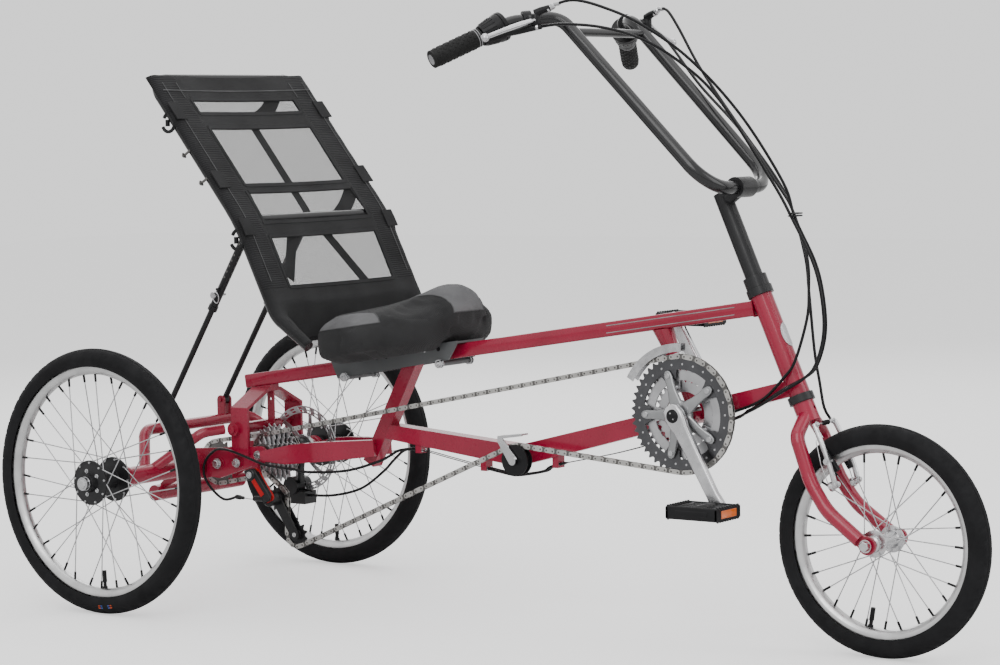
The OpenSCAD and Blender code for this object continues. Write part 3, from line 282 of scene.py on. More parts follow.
# ---- Mesh helpers ----
class Build:
    """Collects the vertices and faces of one piece, in millimetres."""

    def __init__(self):
        self.verts = []
        self.faces = []
        self.slots = []
        self.uvs = {}

    def add(self, verts, faces, slot=0):
        base = len(self.verts)
        self.verts.extend(tuple(v) for v in verts)
        self.faces.extend(tuple(i + base for i in f) for f in faces)
        self.slots.extend([slot] * len(faces))
        return self

    def loft(self, rings, slot=0, caps=True, around=True, closed=False):
        """Skin over rings of equal length; around closes each ring, closed joins last to first."""
        n = len(rings[0])
        verts = [p for ring in rings for p in ring]
        faces = []
        for i in range(len(rings) if closed else len(rings) - 1):
            j = (i + 1) % len(rings)
            for k in range(n if around else n - 1):
                m = (k + 1) % n
                faces.append((i * n + k, i * n + m, j * n + m, j * n + k))
        if caps and around and not closed:
            faces.append(tuple(range(n - 1, -1, -1)))
            faces.append(tuple((len(rings) - 1) * n + k for k in range(n)))
        return self.add(verts, faces, slot)

    def tube(self, path, radius, sides=12, slot=0, closed=False, caps=True):
        """Round tube along a path; radius is one number or one for each point."""
        pts = [Vector(p) for p in path]
        last = len(pts) - 1
        normal = None
        rings = []
        for i, p in enumerate(pts):
            if closed:
                t = (pts[(i + 1) % len(pts)] - pts[i - 1]).normalized()
            else:
                t = (pts[min(i + 1, last)] - pts[max(i - 1, 0)]).normalized()
            if normal is None:
                ref = Vector((0, 1, 0)) if abs(t.y) < 0.9 else Vector((1, 0, 0))
                normal = t.cross(ref).normalized()
            normal = (normal - normal.dot(t) * t).normalized()
            side = t.cross(normal)
            r = radius[i] if hasattr(radius, "__len__") else radius
            rings.append([p + r * (math.cos(a) * normal + math.sin(a) * side)
                          for a in np.linspace(0, 2 * math.pi, sides, endpoint=False)])
        return self.loft(rings, slot, caps=caps, closed=closed)

    def lathe(self, profile, at, axis=(0, 1, 0), sides=48, slot=0, closed=False):
        """Turns (radius, height) pairs around an axis that starts at a point."""
        w = Vector(axis).normalized()
        u = w.cross(Vector((1, 0, 0)) if abs(w.x) < 0.9 else Vector((0, 0, 1))).normalized()
        v = w.cross(u)
        o = Vector(at)
        rings = [[o + h * w + r * (math.cos(a) * u + math.sin(a) * v) for r, h in profile]
                 for a in np.linspace(0, 2 * math.pi, sides, endpoint=False)]
        return self.loft(rings, slot, caps=False, around=closed, closed=True)

    def prism(self, outline, y0, y1, edge=0.8, slot=0):
        """Side-view outline from y0 to y1, with its edges chamfered."""
        inner = inset(outline, edge)
        rings = [[(x, y, z) for x, z in pts] for pts, y in
                 ((inner, y0), (outline, y0 + edge), (outline, y1 - edge), (inner, y1))]
        return self.loft(rings, slot)

    def bar(self, a, b, width, height, fillet=3.0, slot=0, up=(0, 0, 1)):
        """Bar of rounded rectangular section from a to b; width is across, height is up."""
        a = Vector(a)
        b = Vector(b)
        t = (b - a).normalized()
        side = Vector(up).cross(t).normalized()
        top = t.cross(side)
        ring = rounded_rect(width, height, fillet)
        return self.loft([[p + y * side + z * top for y, z in ring] for p in (a, b)], slot)

    def bolt(self, at, axis, r, h, slot=0, washer=1.5):
        """Hexagon head with a washer, rising from a point along an axis."""
        w = Vector(axis).normalized()
        o = Vector(at)
        self.lathe([(0, 0), (r * washer, 0), (r * washer, 1.2), (0, 1.2)], o, w, 20, slot)
        u = w.cross(Vector((0.3, 0.2, 1))).normalized()
        v = w.cross(u)
        rings = [[o + z * w + k * r * (math.cos(a) * u + math.sin(a) * v)
                  for a in np.linspace(0, 2 * math.pi, 6, endpoint=False)]
                 for z, k in ((1.2, 1.0), (h - 0.8, 1.0), (h, 0.86))]
        return self.loft(rings, slot)


def inset(outline, d):
    """The outline moved inwards by d, whichever way round it runs."""
    pts = [Vector(p) for p in outline]
    n = len(pts)
    area = sum(pts[i].x * pts[(i + 1) % n].y - pts[(i + 1) % n].x * pts[i].y for i in range(n))
    turn = 1 if area > 0 else -1
    out = []
    for i, p in enumerate(pts):
        a = (p - pts[i - 1]).normalized()
        b = (pts[(i + 1) % n] - p).normalized()
        normal = Vector((-(a.y + b.y), a.x + b.x)) * turn
        if normal.length > 1e-6:
            normal.normalize()
        out.append(tuple(p + normal * d))
    return out


def rounded_rect(w, h, r, steps=4):
    pts = []
    for cx, cy, a0 in ((w / 2 - r, h / 2 - r, 0), (r - w / 2, h / 2 - r, 90),
                       (r - w / 2, r - h / 2, 180), (w / 2 - r, r - h / 2, 270)):
        for a in np.radians(np.linspace(a0, a0 + 90, steps)):
            pts.append((cx + r * math.cos(a), cy + r * math.sin(a)))
    return pts


def polar(c, r, a):
    """Side-view point at radius r and angle a around c."""
    return c[0] + r * math.cos(a), c[1] + r * math.sin(a)


def polar3(c, r, a, y):
    """The same point in the plane y."""
    return c[0] + r * math.cos(a), y, c[1] + r * math.sin(a)


def capsule(a, b, ra, rb, n=9):
    """Side-view outline of a link: two round ends of radii ra and rb."""
    ang = math.atan2(b[1] - a[1], b[0] - a[0])
    left = [(a[0] + ra * math.cos(t), a[1] + ra * math.sin(t))
            for t in np.linspace(ang + math.pi / 2, ang + 1.5 * math.pi, n)]
    right = [(b[0] + rb * math.cos(t), b[1] + rb * math.sin(t))
             for t in np.linspace(ang - math.pi / 2, ang + math.pi / 2, n)]
    return left + right


def smooth(points, step):
    """Points about a step apart on the smooth curve through the given points."""
    p = [Vector(q) for q in points]
    out = []
    for i in range(len(p) - 1):
        a = p[max(i - 1, 0)]
        b = p[i]
        c = p[i + 1]
        d = p[min(i + 2, len(p) - 1)]
        n = max(1, math.ceil((c - b).length / step))
        for k in range(n):
            t = k / n
            out.append(b + t / 2 * (c - a) + t * t / 2 * (2 * a - 5 * b + 4 * c - d)
                       + t ** 3 / 2 * (3 * b - a - 3 * c + d))
    return out + [p[-1]]


def mirrored(build):
    """Adds the mirror image on the other side of the centre plane."""
    other = [(x, -y, z) for x, y, z in build.verts]
    base = len(build.verts)
    build.faces += [tuple(i + base for i in reversed(f)) for f in build.faces]
    build.slots += list(build.slots)
    build.verts += other
    return build


def piece(name, build, mats, body, replaces=(), sharp=35.0, subdivide=0):
    """Makes the Blender object of a piece, in metres, riding on a body."""
    mesh = bpy.data.meshes.new(name)
    mesh.from_pydata([((x - X_MID) / 1000, y / 1000, z / 1000) for x, y, z in build.verts], [],
                     build.faces)
    mats = mats if isinstance(mats, (list, tuple)) else [mats]
    for mat in mats:
        mesh.materials.append(mat)
    mesh.polygons.foreach_set("material_index", build.slots)
    if build.uvs:
        layer = mesh.uv_layers.new(name="UVMap")
        for loop in mesh.loops:
            layer.data[loop.index].uv = build.uvs.get(loop.vertex_index, (0, 0))
    mesh.polygons.foreach_set("use_smooth", [True] * len(mesh.polygons))
    mesh.validate()
    fix_normals(mesh)
    mesh.set_sharp_from_angle(angle=math.radians(sharp))
    obj = bpy.data.objects.new(name, mesh)
    bpy.context.scene.collection.objects.link(obj)
    if subdivide:
        mod = obj.modifiers.new("Subdivision", "SUBSURF")
        mod.levels = subdivide
        mod.render_levels = subdivide
    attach(obj, body)
    if replaces:
        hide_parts(*replaces)
    return obj


def fix_normals(mesh):
    bm = bmesh.new()
    bm.from_mesh(mesh)
    bmesh.ops.recalc_face_normals(bm, faces=bm.faces)
    bm.to_mesh(mesh)
    bm.free()


def finish_node(name, mat):
    """Gives a CAD node that keeps its shape its material."""
    nodes[name].data.materials.clear()
    nodes[name].data.materials.append(mat)


# ---- Camera, lights, backdrop and floor ----
def camera():
    """The camera at the photo's viewing angle."""
    place = Vector(((3521.35 - X_MID) / 1000, -3.92043, 0.86507))
    yaw = 2.201
    pitch = -0.074
    roll = -0.020
    ahead = Vector((math.cos(yaw) * math.cos(pitch), math.sin(yaw) * math.cos(pitch), math.sin(pitch)))
    right = Vector((math.sin(yaw), -math.cos(yaw), 0))
    up = right.cross(ahead)
    r2 = math.cos(roll) * right + math.sin(roll) * up
    u2 = math.cos(roll) * up - math.sin(roll) * right
    cam = bpy.data.objects.new("camera", bpy.data.cameras.new("camera"))
    cam.data.lens = 99.7
    cam.data.sensor_width = 36
    cam.data.clip_end = 100
    cam.matrix_world = Matrix(((r2.x, u2.x, -ahead.x, place.x), (r2.y, u2.y, -ahead.y, place.y),
                               (r2.z, u2.z, -ahead.z, place.z), (0, 0, 0, 1)))
    bpy.context.scene.collection.objects.link(cam)
    bpy.context.scene.camera = cam


def lights():
    """Four large soft lamps, all aimed at the trike's middle."""
    for name, at, size, power in (("key", (1.5, -3.6, 3.4), 3.0, 95), ("fill", (4.2, 0.8, 2.2), 2.6, 40),
                                  ("back", (-2.5, 3.2, 3.0), 3.0, 60), ("top", (0, 0, 4.2), 4.0, 60)):
        light = bpy.data.objects.new(name, bpy.data.lights.new(name, "AREA"))
        light.data.energy = power
        light.data.size = size
        light.location = at
        light.rotation_euler = (Vector((0, 0, 0.45)) - Vector(at)).to_track_quat("-Z", "Y").to_euler()
        bpy.context.scene.collection.objects.link(light)


def backdrop():
    """White surroundings, brighter to the camera and in reflections than as light."""
    world = bpy.data.worlds.new("studio")
    bpy.context.scene.world = world
    world.use_nodes = True
    tree = world.node_tree
    background = tree.nodes["Background"]
    path = tree.nodes.new("ShaderNodeLightPath")
    seen = tree.nodes.new("ShaderNodeMath")
    seen.operation = "MAXIMUM"
    tree.links.new(path.outputs["Is Camera Ray"], seen.inputs[0])
    tree.links.new(path.outputs["Is Glossy Ray"], seen.inputs[1])
    level = tree.nodes.new("ShaderNodeMapRange")
    level.inputs["To Min"].default_value = 0.55
    level.inputs["To Max"].default_value = 1.25
    tree.links.new(seen.outputs[0], level.inputs["Value"])
    tree.links.new(level.outputs["Result"], background.inputs["Strength"])
    background.inputs["Color"].default_value = (1, 1, 1, 1)


def pale_floor():
    """A large matt floor that glows a little to the camera, so that it fades into the backdrop."""
    size = 14.0
    mesh = bpy.data.meshes.new("floor")
    mesh.from_pydata([(-size, -size, 0), (size, -size, 0), (size, size, 0), (-size, size, 0)], [],
                     [(0, 1, 2, 3)])
    floor = bpy.data.objects.new("floor", mesh)
    bpy.context.scene.collection.objects.link(floor)
    mat = shader("floor", (0.86, 0.86, 0.86), 0.95, specular=0.0)
    lp = node(mat, "ShaderNodeLightPath")
    glow = node(mat, "ShaderNodeMath", [(0, lp.outputs["Is Camera Ray"]), (1, 0.75)],
                operation="MULTIPLY")
    bsdf_in(mat, "Emission Strength", glow.outputs[0])
    mat.node_tree.nodes["Principled BSDF"].inputs["Emission Color"].default_value = (1, 1, 1, 1)
    mesh.materials.append(mat)


# ---- Wheels ----
def tyre(name, at, y0, radius, body, stripe_angle):
    """Tyre with a grooved tread and four small stripes in two colours on its outer side; a tyre on the
    centre plane has them on its left."""
    steps = 360
    half = TYRE_W / 2
    proud = half + 0.3
    one_side = [4, 9, 14, 19, 25, 32, 39, 46, 53, 60, 67, 76, 86, 98, 112, 128]
    angles = [math.radians(a) for a in [-b for b in reversed(one_side)] + one_side]
    side = -1 if y0 < -1 else 1
    build = Build()
    rings = []
    for i in range(steps):
        a = 2 * math.pi * i / steps
        ring = []
        for k, phi in enumerate(angles):
            d = 0.0
            deg = abs(math.degrees(phi))
            block = (i + (k if phi > 0 else -k) // 2) % 6
            if 17 < deg < 56 and block == 0:
                d = 1.3
            if 10 < deg < 16:
                d = 1.1
            if 72 < deg < 80:
                d = -0.5
            r = min(radius - half + (half - d) * math.cos(phi), radius - d)
            r = max(r, radius - TYRE_H)
            ring.append(polar3(at, r, a, y0 + (half - d) * math.sin(phi)))
        rings.append(ring)
    build.loft(rings, caps=False, around=False, closed=True)
    for turn, slot in ((-3.4, 1), (-2.4, 2), (2.4, 2), (3.4, 1)):
        rows = []
        for a in np.radians(np.linspace(stripe_angle + turn - 0.8, stripe_angle + turn + 0.8, 4)):
            rows.append([polar3(at, radius - half + proud * math.cos(p), a, y0 + side * proud * math.sin(p))
                         for p in np.radians(np.linspace(66, 84, 4))])
        build.loft(rows, slot, caps=False, around=False)
    return piece(name, build, [RUBBER, ORANGE, BLUE], body, [name.replace("_tread", "")])


def wheel(name, at, y0, radius, count, cross_turn, flanges, hub, body, valve_angle, hub_parts):
    """Rim, laced spokes, nipples, valve and hub; flanges are (y, radius) pairs."""
    ro = radius - TYRE_H
    ri = ro - RIM_H
    o = (at[0], y0, at[1])
    build = Build()
    profile = [(ro + 4, -11.5), (ro + 4, -10.6), (ro - 1, -10.2), (ro - 4, -6), (ro - 4, 6), (ro - 1, 10.2),
               (ro + 4, 10.6), (ro + 4, 11.5), (ro + 3, 12), (ro - 6, 12), (ro - 7.5, 11.2), (ri + 4, 8.5),
               (ri + 1, 5), (ri, 0), (ri + 1, -5), (ri + 4, -8.5), (ro - 7.5, -11.2), (ro - 6, -12),
               (ro + 3, -12)]
    build.lathe(profile, o, sides=144, closed=True)
    for k in range(count):
        left = k % 2
        pair = k // 2
        y_hub, r_hub = flanges[left]
        step = 720.0 / count
        base = step * pair + left * step / 2
        lead = 1 if pair % 2 else -1
        a = math.radians(base)
        b = math.radians(base + lead * cross_turn)
        r_hole = r_hub - 3.5
        p = Vector(polar3(at, r_hole, a, y0 + y_hub + 1.5 * lead))
        q = Vector(polar3(at, ri, b, y0 + (2.5 if y_hub > 0 else -2.5)))
        q2 = q + (p - q).normalized() * 13
        build.tube([p, q], 1.05, 6, 1)
        build.tube([q + (q - p).normalized() * 2, q2], 2.1, 8, 2)
        build.lathe([(0, -2.2), (2, -2.2), (2.2, 0), (2, 2.2), (0, 2.2)], p, sides=8, slot=1)
    a = math.radians(valve_angle)
    u = Vector((math.cos(a), 0, math.sin(a)))
    foot = Vector(o) + (ri + 2) * u
    build.tube([foot, foot - 5 * u, foot - 5.1 * u, foot - 14 * u], [5, 4.6, 3.2, 3.2], 12, 2)
    build.tube([foot - 13 * u, foot - 34 * u], [4.2, 3.9], 12, 2)
    for prof, slot in hub:
        build.lathe(prof, o, sides=48, slot=slot)
    for shape in hub_parts:
        shape(build, o)
    mats = [RIM_ALLOY, SATIN, BLACK_PLASTIC, SILVER, BLACK_METAL]
    return piece(name, build, mats, body, [name.replace("_laced", "")])


def rear_hub_profile(k):
    """Rear hub, outwards along k: barrel, two wide black flanges and end caps."""
    def flange(w, r):
        return [(17, w - 3), (r - 12, w - 3), (r - 9, w - 2.2), (r, w - 2.2), (r + 0.6, w - 1.2),
                (r + 0.6, w + 1.2), (r, w + 2.2), (r - 9, w + 2.2), (r - 12, w + 3), (17, w + 3)]
    out = []
    for w, r in ((-37, 40), (22, 40)):
        out.append(([(a, k * b) for a, b in flange(w, r)], 4))
    out.append(([(17, k * -40), (17, k * -34), (15, k * -30), (15, k * 16), (17, k * 20), (17, k * 26)], 4))
    out.append(([(8, k * -48), (14, k * -47.5), (17, k * -40)], 4))
    out.append(([(17, k * 26), (15, k * 33), (8, k * 34), (8, k * 30)], 4))
    return out


def flange_bolts(w, r, n):
    """A circle of small silver bolts on a flange at height w."""
    def shape(build, o):
        side = 1 if w > 0 else -1
        for i in range(n):
            a = 2 * math.pi * (i + 0.5) / n
            build.bolt((o[0] + r * math.cos(a), o[1] + w, o[2] + r * math.sin(a)), (0, side, 0), 2.6, 3.5, 3)
    return shape


def axle_end(build, k):
    """Silver washer, bolt head and cap on the rear axle's outer end, on side k."""
    y = k * (REAR_Y + 35)
    build.lathe([(0, 0), (12.5, 0), (12.5, k * 2), (9, k * 2.6), (0, k * 2.6)], (REAR[0], y, REAR[1]), slot=3)
    build.bolt((REAR[0], y + k * 2.6, REAR[1]), (0, k, 0), 8.5, 9, 3, washer=1.2)


def wheels():
    for word, k, stripe in (("right", -1, -84), ("left", 1, -84)):
        body = f"rear_{word}_wheel_set"
        tyre(f"rear_{word}_tyre_tread", REAR, k * REAR_Y, REAR_R, body, stripe)
        flanges = [(-37 * k, 40), (22 * k, 40)]
        wheel(f"rear_{word}_wheel_laced", REAR, k * REAR_Y, REAR_R, 36, 60, flanges, rear_hub_profile(k),
              body, -88, [flange_bolts(k * 24.2, 22, 5)])
    tyre("front_tyre_tread", FRONT, -0.5, FRONT_R, "front_wheel_set", -80)
    hub = [([(6, -48), (9, -47), (9, -40), (13, -38), (14, -33), (22, -32), (22, -29), (15, -27), (13, -22),
             (13, 22), (15, 27), (22, 29), (22, 32), (14, 33), (13, 38), (9, 40), (9, 47), (6, 48)], 3)]
    wheel("front_wheel_laced", FRONT, 0.0, FRONT_R, 28, 51.43, [(-30.5, 22), (30.5, 22)], hub,
          "front_wheel_set", -100, [])
    build = Build()
    for k in (-1, 1):
        axle_end(build, k)
    finish_node("rear_axle", SILVER)
    piece("rear_axle_ends", build, [SILVER] * 4, "rear_left_wheel_set")


# ---- Drive ----
def chain_path(pulleys):
    """Points of a chain around pulleys (centre, radius, turn), one for each pin."""
    def run(p, q):
        dx = q[0][0] - p[0][0]
        dz = q[0][1] - p[0][1]
        k = p[2] * p[1] - q[2] * q[1]
        return math.atan2(dz, dx) + math.atan2(k, math.sqrt(dx * dx + dz * dz - k * k))

    def touch(p, a):
        return Vector((p[0][0] + p[2] * p[1] * math.sin(a), p[0][1] - p[2] * p[1] * math.cos(a)))
    pts = []
    n = len(pulleys)
    for i in range(n):
        p = pulleys[i]
        a_in = run(pulleys[i - 1], p)
        a_out = run(p, pulleys[(i + 1) % n])
        sweep = ((a_out - a_in) * p[2]) % (2 * math.pi)
        steps = max(2, int(sweep * p[1] / 2))
        pts += [touch(p, a_in + p[2] * sweep * k / steps) for k in range(steps + 1)]
    pts.append(pts[0])
    length = np.cumsum([0] + [(b - a).length for a, b in zip(pts, pts[1:])])
    count = int(round(length[-1] / PITCH / 2)) * 2
    at = np.linspace(0, length[-1], count, endpoint=False)
    xs = np.interp(at, length, [p.x for p in pts])
    zs = np.interp(at, length, [p.y for p in pts])
    return list(zip(xs, zs))


def chain(name, pulleys, y, node_name):
    """Roller chain: pairs of outer and inner plates, rollers and pins."""
    build = Build()
    pins = chain_path(pulleys)
    for i, a in enumerate(pins):
        b = pins[(i + 1) % len(pins)]
        outer = i % 2
        plate = capsule(a, b, 4.2, 4.2, 7)
        for side in (-1, 1):
            w = side * (3.0 if outer else 1.9)
            build.loft([[(x, y + w - 0.5, z) for x, z in plate], [(x, y + w + 0.5, z) for x, z in plate]],
                       0 if outer else 1)
        build.tube([(a[0], y - 3.9, a[1]), (a[0], y + 3.9, a[1])], 1.8, 8, 1)
        build.tube([(a[0], y - 1.4, a[1]), (a[0], y + 1.4, a[1])], 3.6, 10, 1)
    piece(name, build, [CHAIN_LIGHT, CHAIN_DARK], "frame", [node_name])


def pitch_r(teeth):
    return PITCH / 2 / math.sin(math.pi / teeth)


def gear_outline(c, teeth, depth=4.0):
    """Toothed outline: rollers sit between the teeth."""
    r = pitch_r(teeth)
    pts = []
    for i in range(teeth):
        a0 = 2 * math.pi * i / teeth
        step = 2 * math.pi / teeth
        for share, rr in ((0.0, r - depth), (0.16, r - depth * 0.8), (0.34, r + 0.6), (0.43, r + 2.6),
                          (0.57, r + 2.6), (0.66, r + 0.6), (0.84, r - depth * 0.8)):
            a = a0 + share * step
            pts.append(polar(c, rr, a))
    return pts


def gear(build, c, teeth, inner, y0, y1, slot, edge=0.5):
    """Toothed ring with a round hole."""
    out = gear_outline(c, teeth)
    n = len(out)
    hole = [polar(c, inner, 2 * math.pi * i / n) for i in range(n)]
    slim = inset(out, edge)
    rings = [[(x, y, z) for x, z in pts] for pts, y in
             ((hole, y0), (slim, y0), (out, y0 + edge), (out, y1 - edge), (slim, y1), (hole, y1))]
    build.loft(rings, slot, caps=False, closed=True)


def chainrings():
    """Three toothed rings with their bolts; the large one has tabs to the spider."""
    y0 = CHAIN_Y - 1.5
    build = Build()
    large, middle, small = RING_TEETH
    gear(build, BB, large, pitch_r(large) - 22, y0, y0 + 3, 0)
    gear(build, BB, middle, pitch_r(middle) - 20, y0 + 6, y0 + 9, 1)
    gear(build, BB, small, 37, y0 + 12, y0 + 15, 1)
    for i in range(5):
        a = math.radians(SPIDER_ANGLE + 72 * i)
        u = Vector((math.cos(a), math.sin(a)))
        v = Vector((-u.y, u.x))
        c = Vector(BB)
        for r in (68, 46):
            p = c + r * u
            y = y0 - (6 if r > 60 else 0)
            build.lathe([(0, -2), (4.2, -2), (5, -1), (5, 0), (4.6, 12), (0, 12)], (p.x, y, p.y), sides=20,
                        slot=1)
        # Tabs of the large ring between its bolts and the teeth
        tab = [c + 60 * u - 11 * v, c + 66 * u - 13 * v, c + 78 * u - 20 * v, c + 78 * u + 20 * v,
               c + 66 * u + 13 * v, c + 60 * u + 11 * v]
        build.prism([tuple(p) for p in tab], y0 + 0.1, y0 + 2.9, 0.5, 0)
        tab = [c + 41 * u - 8 * v, c + 58 * u - 14 * v, c + 58 * u + 14 * v, c + 41 * u + 8 * v]
        build.prism([tuple(p) for p in tab], y0 + 6.2, y0 + 8.8, 0.5, 1)
        for k in range(5):
            q = c + (pitch_r(large) - 13) * Vector((math.cos(a + math.radians(14.4 * k + 7)),
                                                 math.sin(a + math.radians(14.4 * k + 7))))
            build.lathe([(0, -0.3), (1.6, -0.3), (2, 0.2)], (q.x, y0, q.y), sides=10, slot=1)
    piece("chainrings_toothed", build, [RING_DARK, SATIN], "crankset", ["chainrings"])


def cranks():
    """Spider, both fluted cranks, and the bottom bracket's and the pedals' axles."""
    build = Build()
    ys = CHAIN_Y - 10.5
    for i in range(5):
        a = math.radians(SPIDER_ANGLE + 72 * i)
        u = Vector((math.cos(a), 0, math.sin(a)))
        v = Vector((-u.z, 0, u.x))
        c = Vector((BB[0], ys + 3, BB[1]))
        rings = []
        for r, w, t, dy in ((12, 13, 9, 0), (26, 11, 8, 0), (42, 8, 7, 1), (56, 7.5, 6, 2), (66, 8, 5.5, 3),
                            (73, 6.5, 5, 3.3), (76.5, 3, 4, 3.3)):
            o = c + r * u + Vector((0, dy, 0))
            section = rounded_rect(2 * w, t, min(w, t / 2) * 0.8)
            rings.append([o + p * v + Vector((0, q, 0)) for p, q in section])
        build.loft(rings, 1)
    build.lathe([(0, -4), (20, -4), (24, -2), (25, 3), (20, 6), (0, 6)], (BB[0], ys + 3, BB[1]), slot=1)
    for k in (0, 1):
        turn = math.radians(CRANK_ANGLE + 180 * k)
        u = Vector((math.cos(turn), 0, math.sin(turn)))
        v = Vector((-u.z, 0, u.x))
        side = 1 if k else -1
        rings = []
        for r, w, t, dy in ((-19, 8, 9, 0), (-14, 15, 13, 0), (0, 19, 15, 0), (14, 17.5, 15, 0),
                            (26, 14.5, 14, 0), (60, 13, 13, 1), (110, 12, 12.5, 3), (148, 11.5, 12, 5),
                            (158, 13, 13, 5), (170, 13.8, 13, 5), (180, 9.5, 12, 5), (184, 4, 9, 5)):
            o = Vector((BB[0], side * (62.5 + 6.5 + dy * 0.4), BB[1])) + r * u
            ring = []
            for p, q in rounded_rect(2 * w, t, min(w, t / 2) * 0.75, 6):
                groove = 2.4 if 30 < r < 152 and abs(p) < w * 0.5 and q * side > 0 else 0
                ring.append(o + p * v + Vector((0, q - groove * (1 if q > 0 else -1), 0)))
            rings.append(ring)
        build.loft(rings)
        o = Vector((BB[0], side * 76.3, BB[1]))
        cap = [(0, 2.6), (9, 2.2), (11.5, 0.4), (11.5, -2), (13, -2)]
        build.lathe([(r, side * h) for r, h in cap], o, sides=32, slot=2)
        for b in (-1, 1):
            p = o + 5.5 * b * u
            build.lathe([(0, side * 2.7), (1.3, side * 2.7), (1.3, side * 2)], p, sides=10, slot=3)
        e = Vector((BB[0], 0, BB[1])) + CRANK_L * u
        build.tube([(e.x, side * 60, e.z), (e.x, side * 79, e.z)], 6.5, 20, 1)
        build.tube([(e.x, side * 79, e.z), (e.x, side * 84, e.z)], 7.6, 6, 0)
        build.tube([(e.x, side * 79, e.z), (e.x, side * 146, e.z)], 4.3, 14, 0)
    build.tube([(BB[0], -62, BB[1]), (BB[0], 62, BB[1])], 8.5, 24, 1)
    build.tube([(BB[0], -36, BB[1]), (BB[0], -57, BB[1])], [15, 17], 24, 1)
    piece("cranks_fluted", build, [SILVER, SPIDER_GREY, BLACK_PLASTIC, SATIN], "crankset",
          ["crank_arms"])


def pedal(word, k):
    """Black cage pedal with teeth along its edges and amber reflectors in its ends."""
    turn = math.radians(CRANK_ANGLE + 180 * (k > 0))
    c = (BB[0] + CRANK_L * math.cos(turn), BB[1] + CRANK_L * math.sin(turn))
    near = k * 84.5
    far = k * 158.5
    lo = min(near, far)
    hi = max(near, far)
    build = Build()
    for side in (-1, 1):
        x0 = c[0] + side * 36
        x1 = c[0] + side * 49.5
        build.bar((x0, lo + 2, c[1]), (x0, hi - 2, c[1]), 5, 19, 2)
        build.bar((x1 - side * 2.5, lo + 1, c[1]), (x1 - side * 2.5, hi - 1, c[1]), 4.5, 20, 2)
        for j in range(9):
            y = lo + 6 + j * (hi - lo - 12) / 8
            for up in (-1, 1):
                build.loft([[(x1 - side * 2.5 + a * 2.2 * f, y + b * 2.4 * f, c[1] + up * z)
                             for a, b in ((-1, -1), (1, -1), (1, 1), (-1, 1))]
                            for z, f in ((9, 1.0), (12.6, 0.5))])
        build.bar((x1 - side * 0.8, lo + 14, c[1]), (x1 - side * 0.8, hi - 14, c[1]), 2.2, 13, 0.8, slot=1)
    for y in (lo + 4, hi - 4):
        build.bar((c[0] - 48, y, c[1]), (c[0] + 48, y, c[1]), 6, 22, 2.5)
        build.bar((c[0] - 30, y, c[1]), (c[0] + 30, y, c[1]), 7.6, 10, 2)
    build.bar((c[0] - 37, (lo + hi) / 2, c[1]), (c[0] + 37, (lo + hi) / 2, c[1]), 12, 16, 3)
    build.lathe([(5, 0), (11, 0), (11.5, 2), (11.5, hi - lo - 12), (8, hi - lo - 8), (0, hi - lo - 8)],
                (c[0], lo + 4, c[1]), sides=28)
    for j in range(6):
        for side in (-1, 1):
            x = c[0] + side * 24
            y = lo + 12 + j * 10
            build.bar((x, y, c[1] - 9), (x, y, c[1] + 9), 26, 3, 1, up=(0, 1, 0))
    piece(f"{word}_pedal_caged", build, [BLACK_PLASTIC, AMBER], f"{word}_pedal_set",
          [f"{word}_pedal"])


def drive_side():
    """Both chains, the cassette, the mid hub, the axle sprocket and the brake disc."""
    cog = pitch_r(COG_TEETH)
    jockey = pitch_r(JOCKEY_TEETH)
    chain("drive_chain_links", [(BB, pitch_r(RING_TEETH[0]), 1), (MID, cog, 1), (GUIDE, jockey, -1),
                                (TENSION, jockey, 1), (IDLER, pitch_r(IDLER_TEETH), -1)],
          CHAIN_Y, "drive_chain")
    chain("axle_chain_links", [(MID, cog, 1), (REAR, pitch_r(AXLE_COG_TEETH), 1)], AXLE_CHAIN_Y, "axle_chain")
    build = Build()
    teeth = (11, 13, 15, 18, 21, 23, 26)
    y0 = CHAIN_Y - 3 * COG_STEP - 1
    for k, t in enumerate(teeth):
        gear(build, MID, t, 15.2, y0 + k * COG_STEP, y0 + k * COG_STEP + 2, 0)
    build.lathe([(15, -1.5), (20, -1.5), (20.5, 0), (20.5, 31), (15, 31)], (MID[0], y0, MID[1]), slot=1)
    piece("cassette_toothed", build, [SATIN, CHAIN_DARK], "mid_drive", ["cassette"])
    build = Build()
    gear(build, MID, COG_TEETH, 11, AXLE_CHAIN_Y - 1.5, AXLE_CHAIN_Y + 1.5, 0)
    profile = [(11, -65), (14.6, -65), (14.6, -17), (20, -16), (21, -12), (21, 14), (28, 16), (28, 22),
               (21, 24), (19, 34), (20, 40), (21, 49), (11, 49)]
    build.lathe(profile, (MID[0], 0, MID[1]), slot=1)
    piece("mid_hub_turned", build, [CHAIN_DARK, BLACK_METAL], "mid_drive", ["mid_hub"])
    build = Build()
    gear(build, REAR, AXLE_COG_TEETH, 8, AXLE_CHAIN_Y - 1.5, AXLE_CHAIN_Y + 1.5, 0)
    for i in range(6):
        a = 2 * math.pi * i / 6
        build.bolt(polar3(REAR, 22, a, AXLE_CHAIN_Y - 1.5), (0, -1, 0), 3.6, 5, 1)
    piece("axle_sprocket_toothed", build, [CHAIN_DARK, SILVER], "rear_left_wheel_set",
          ["axle_sprocket"])
    disc()


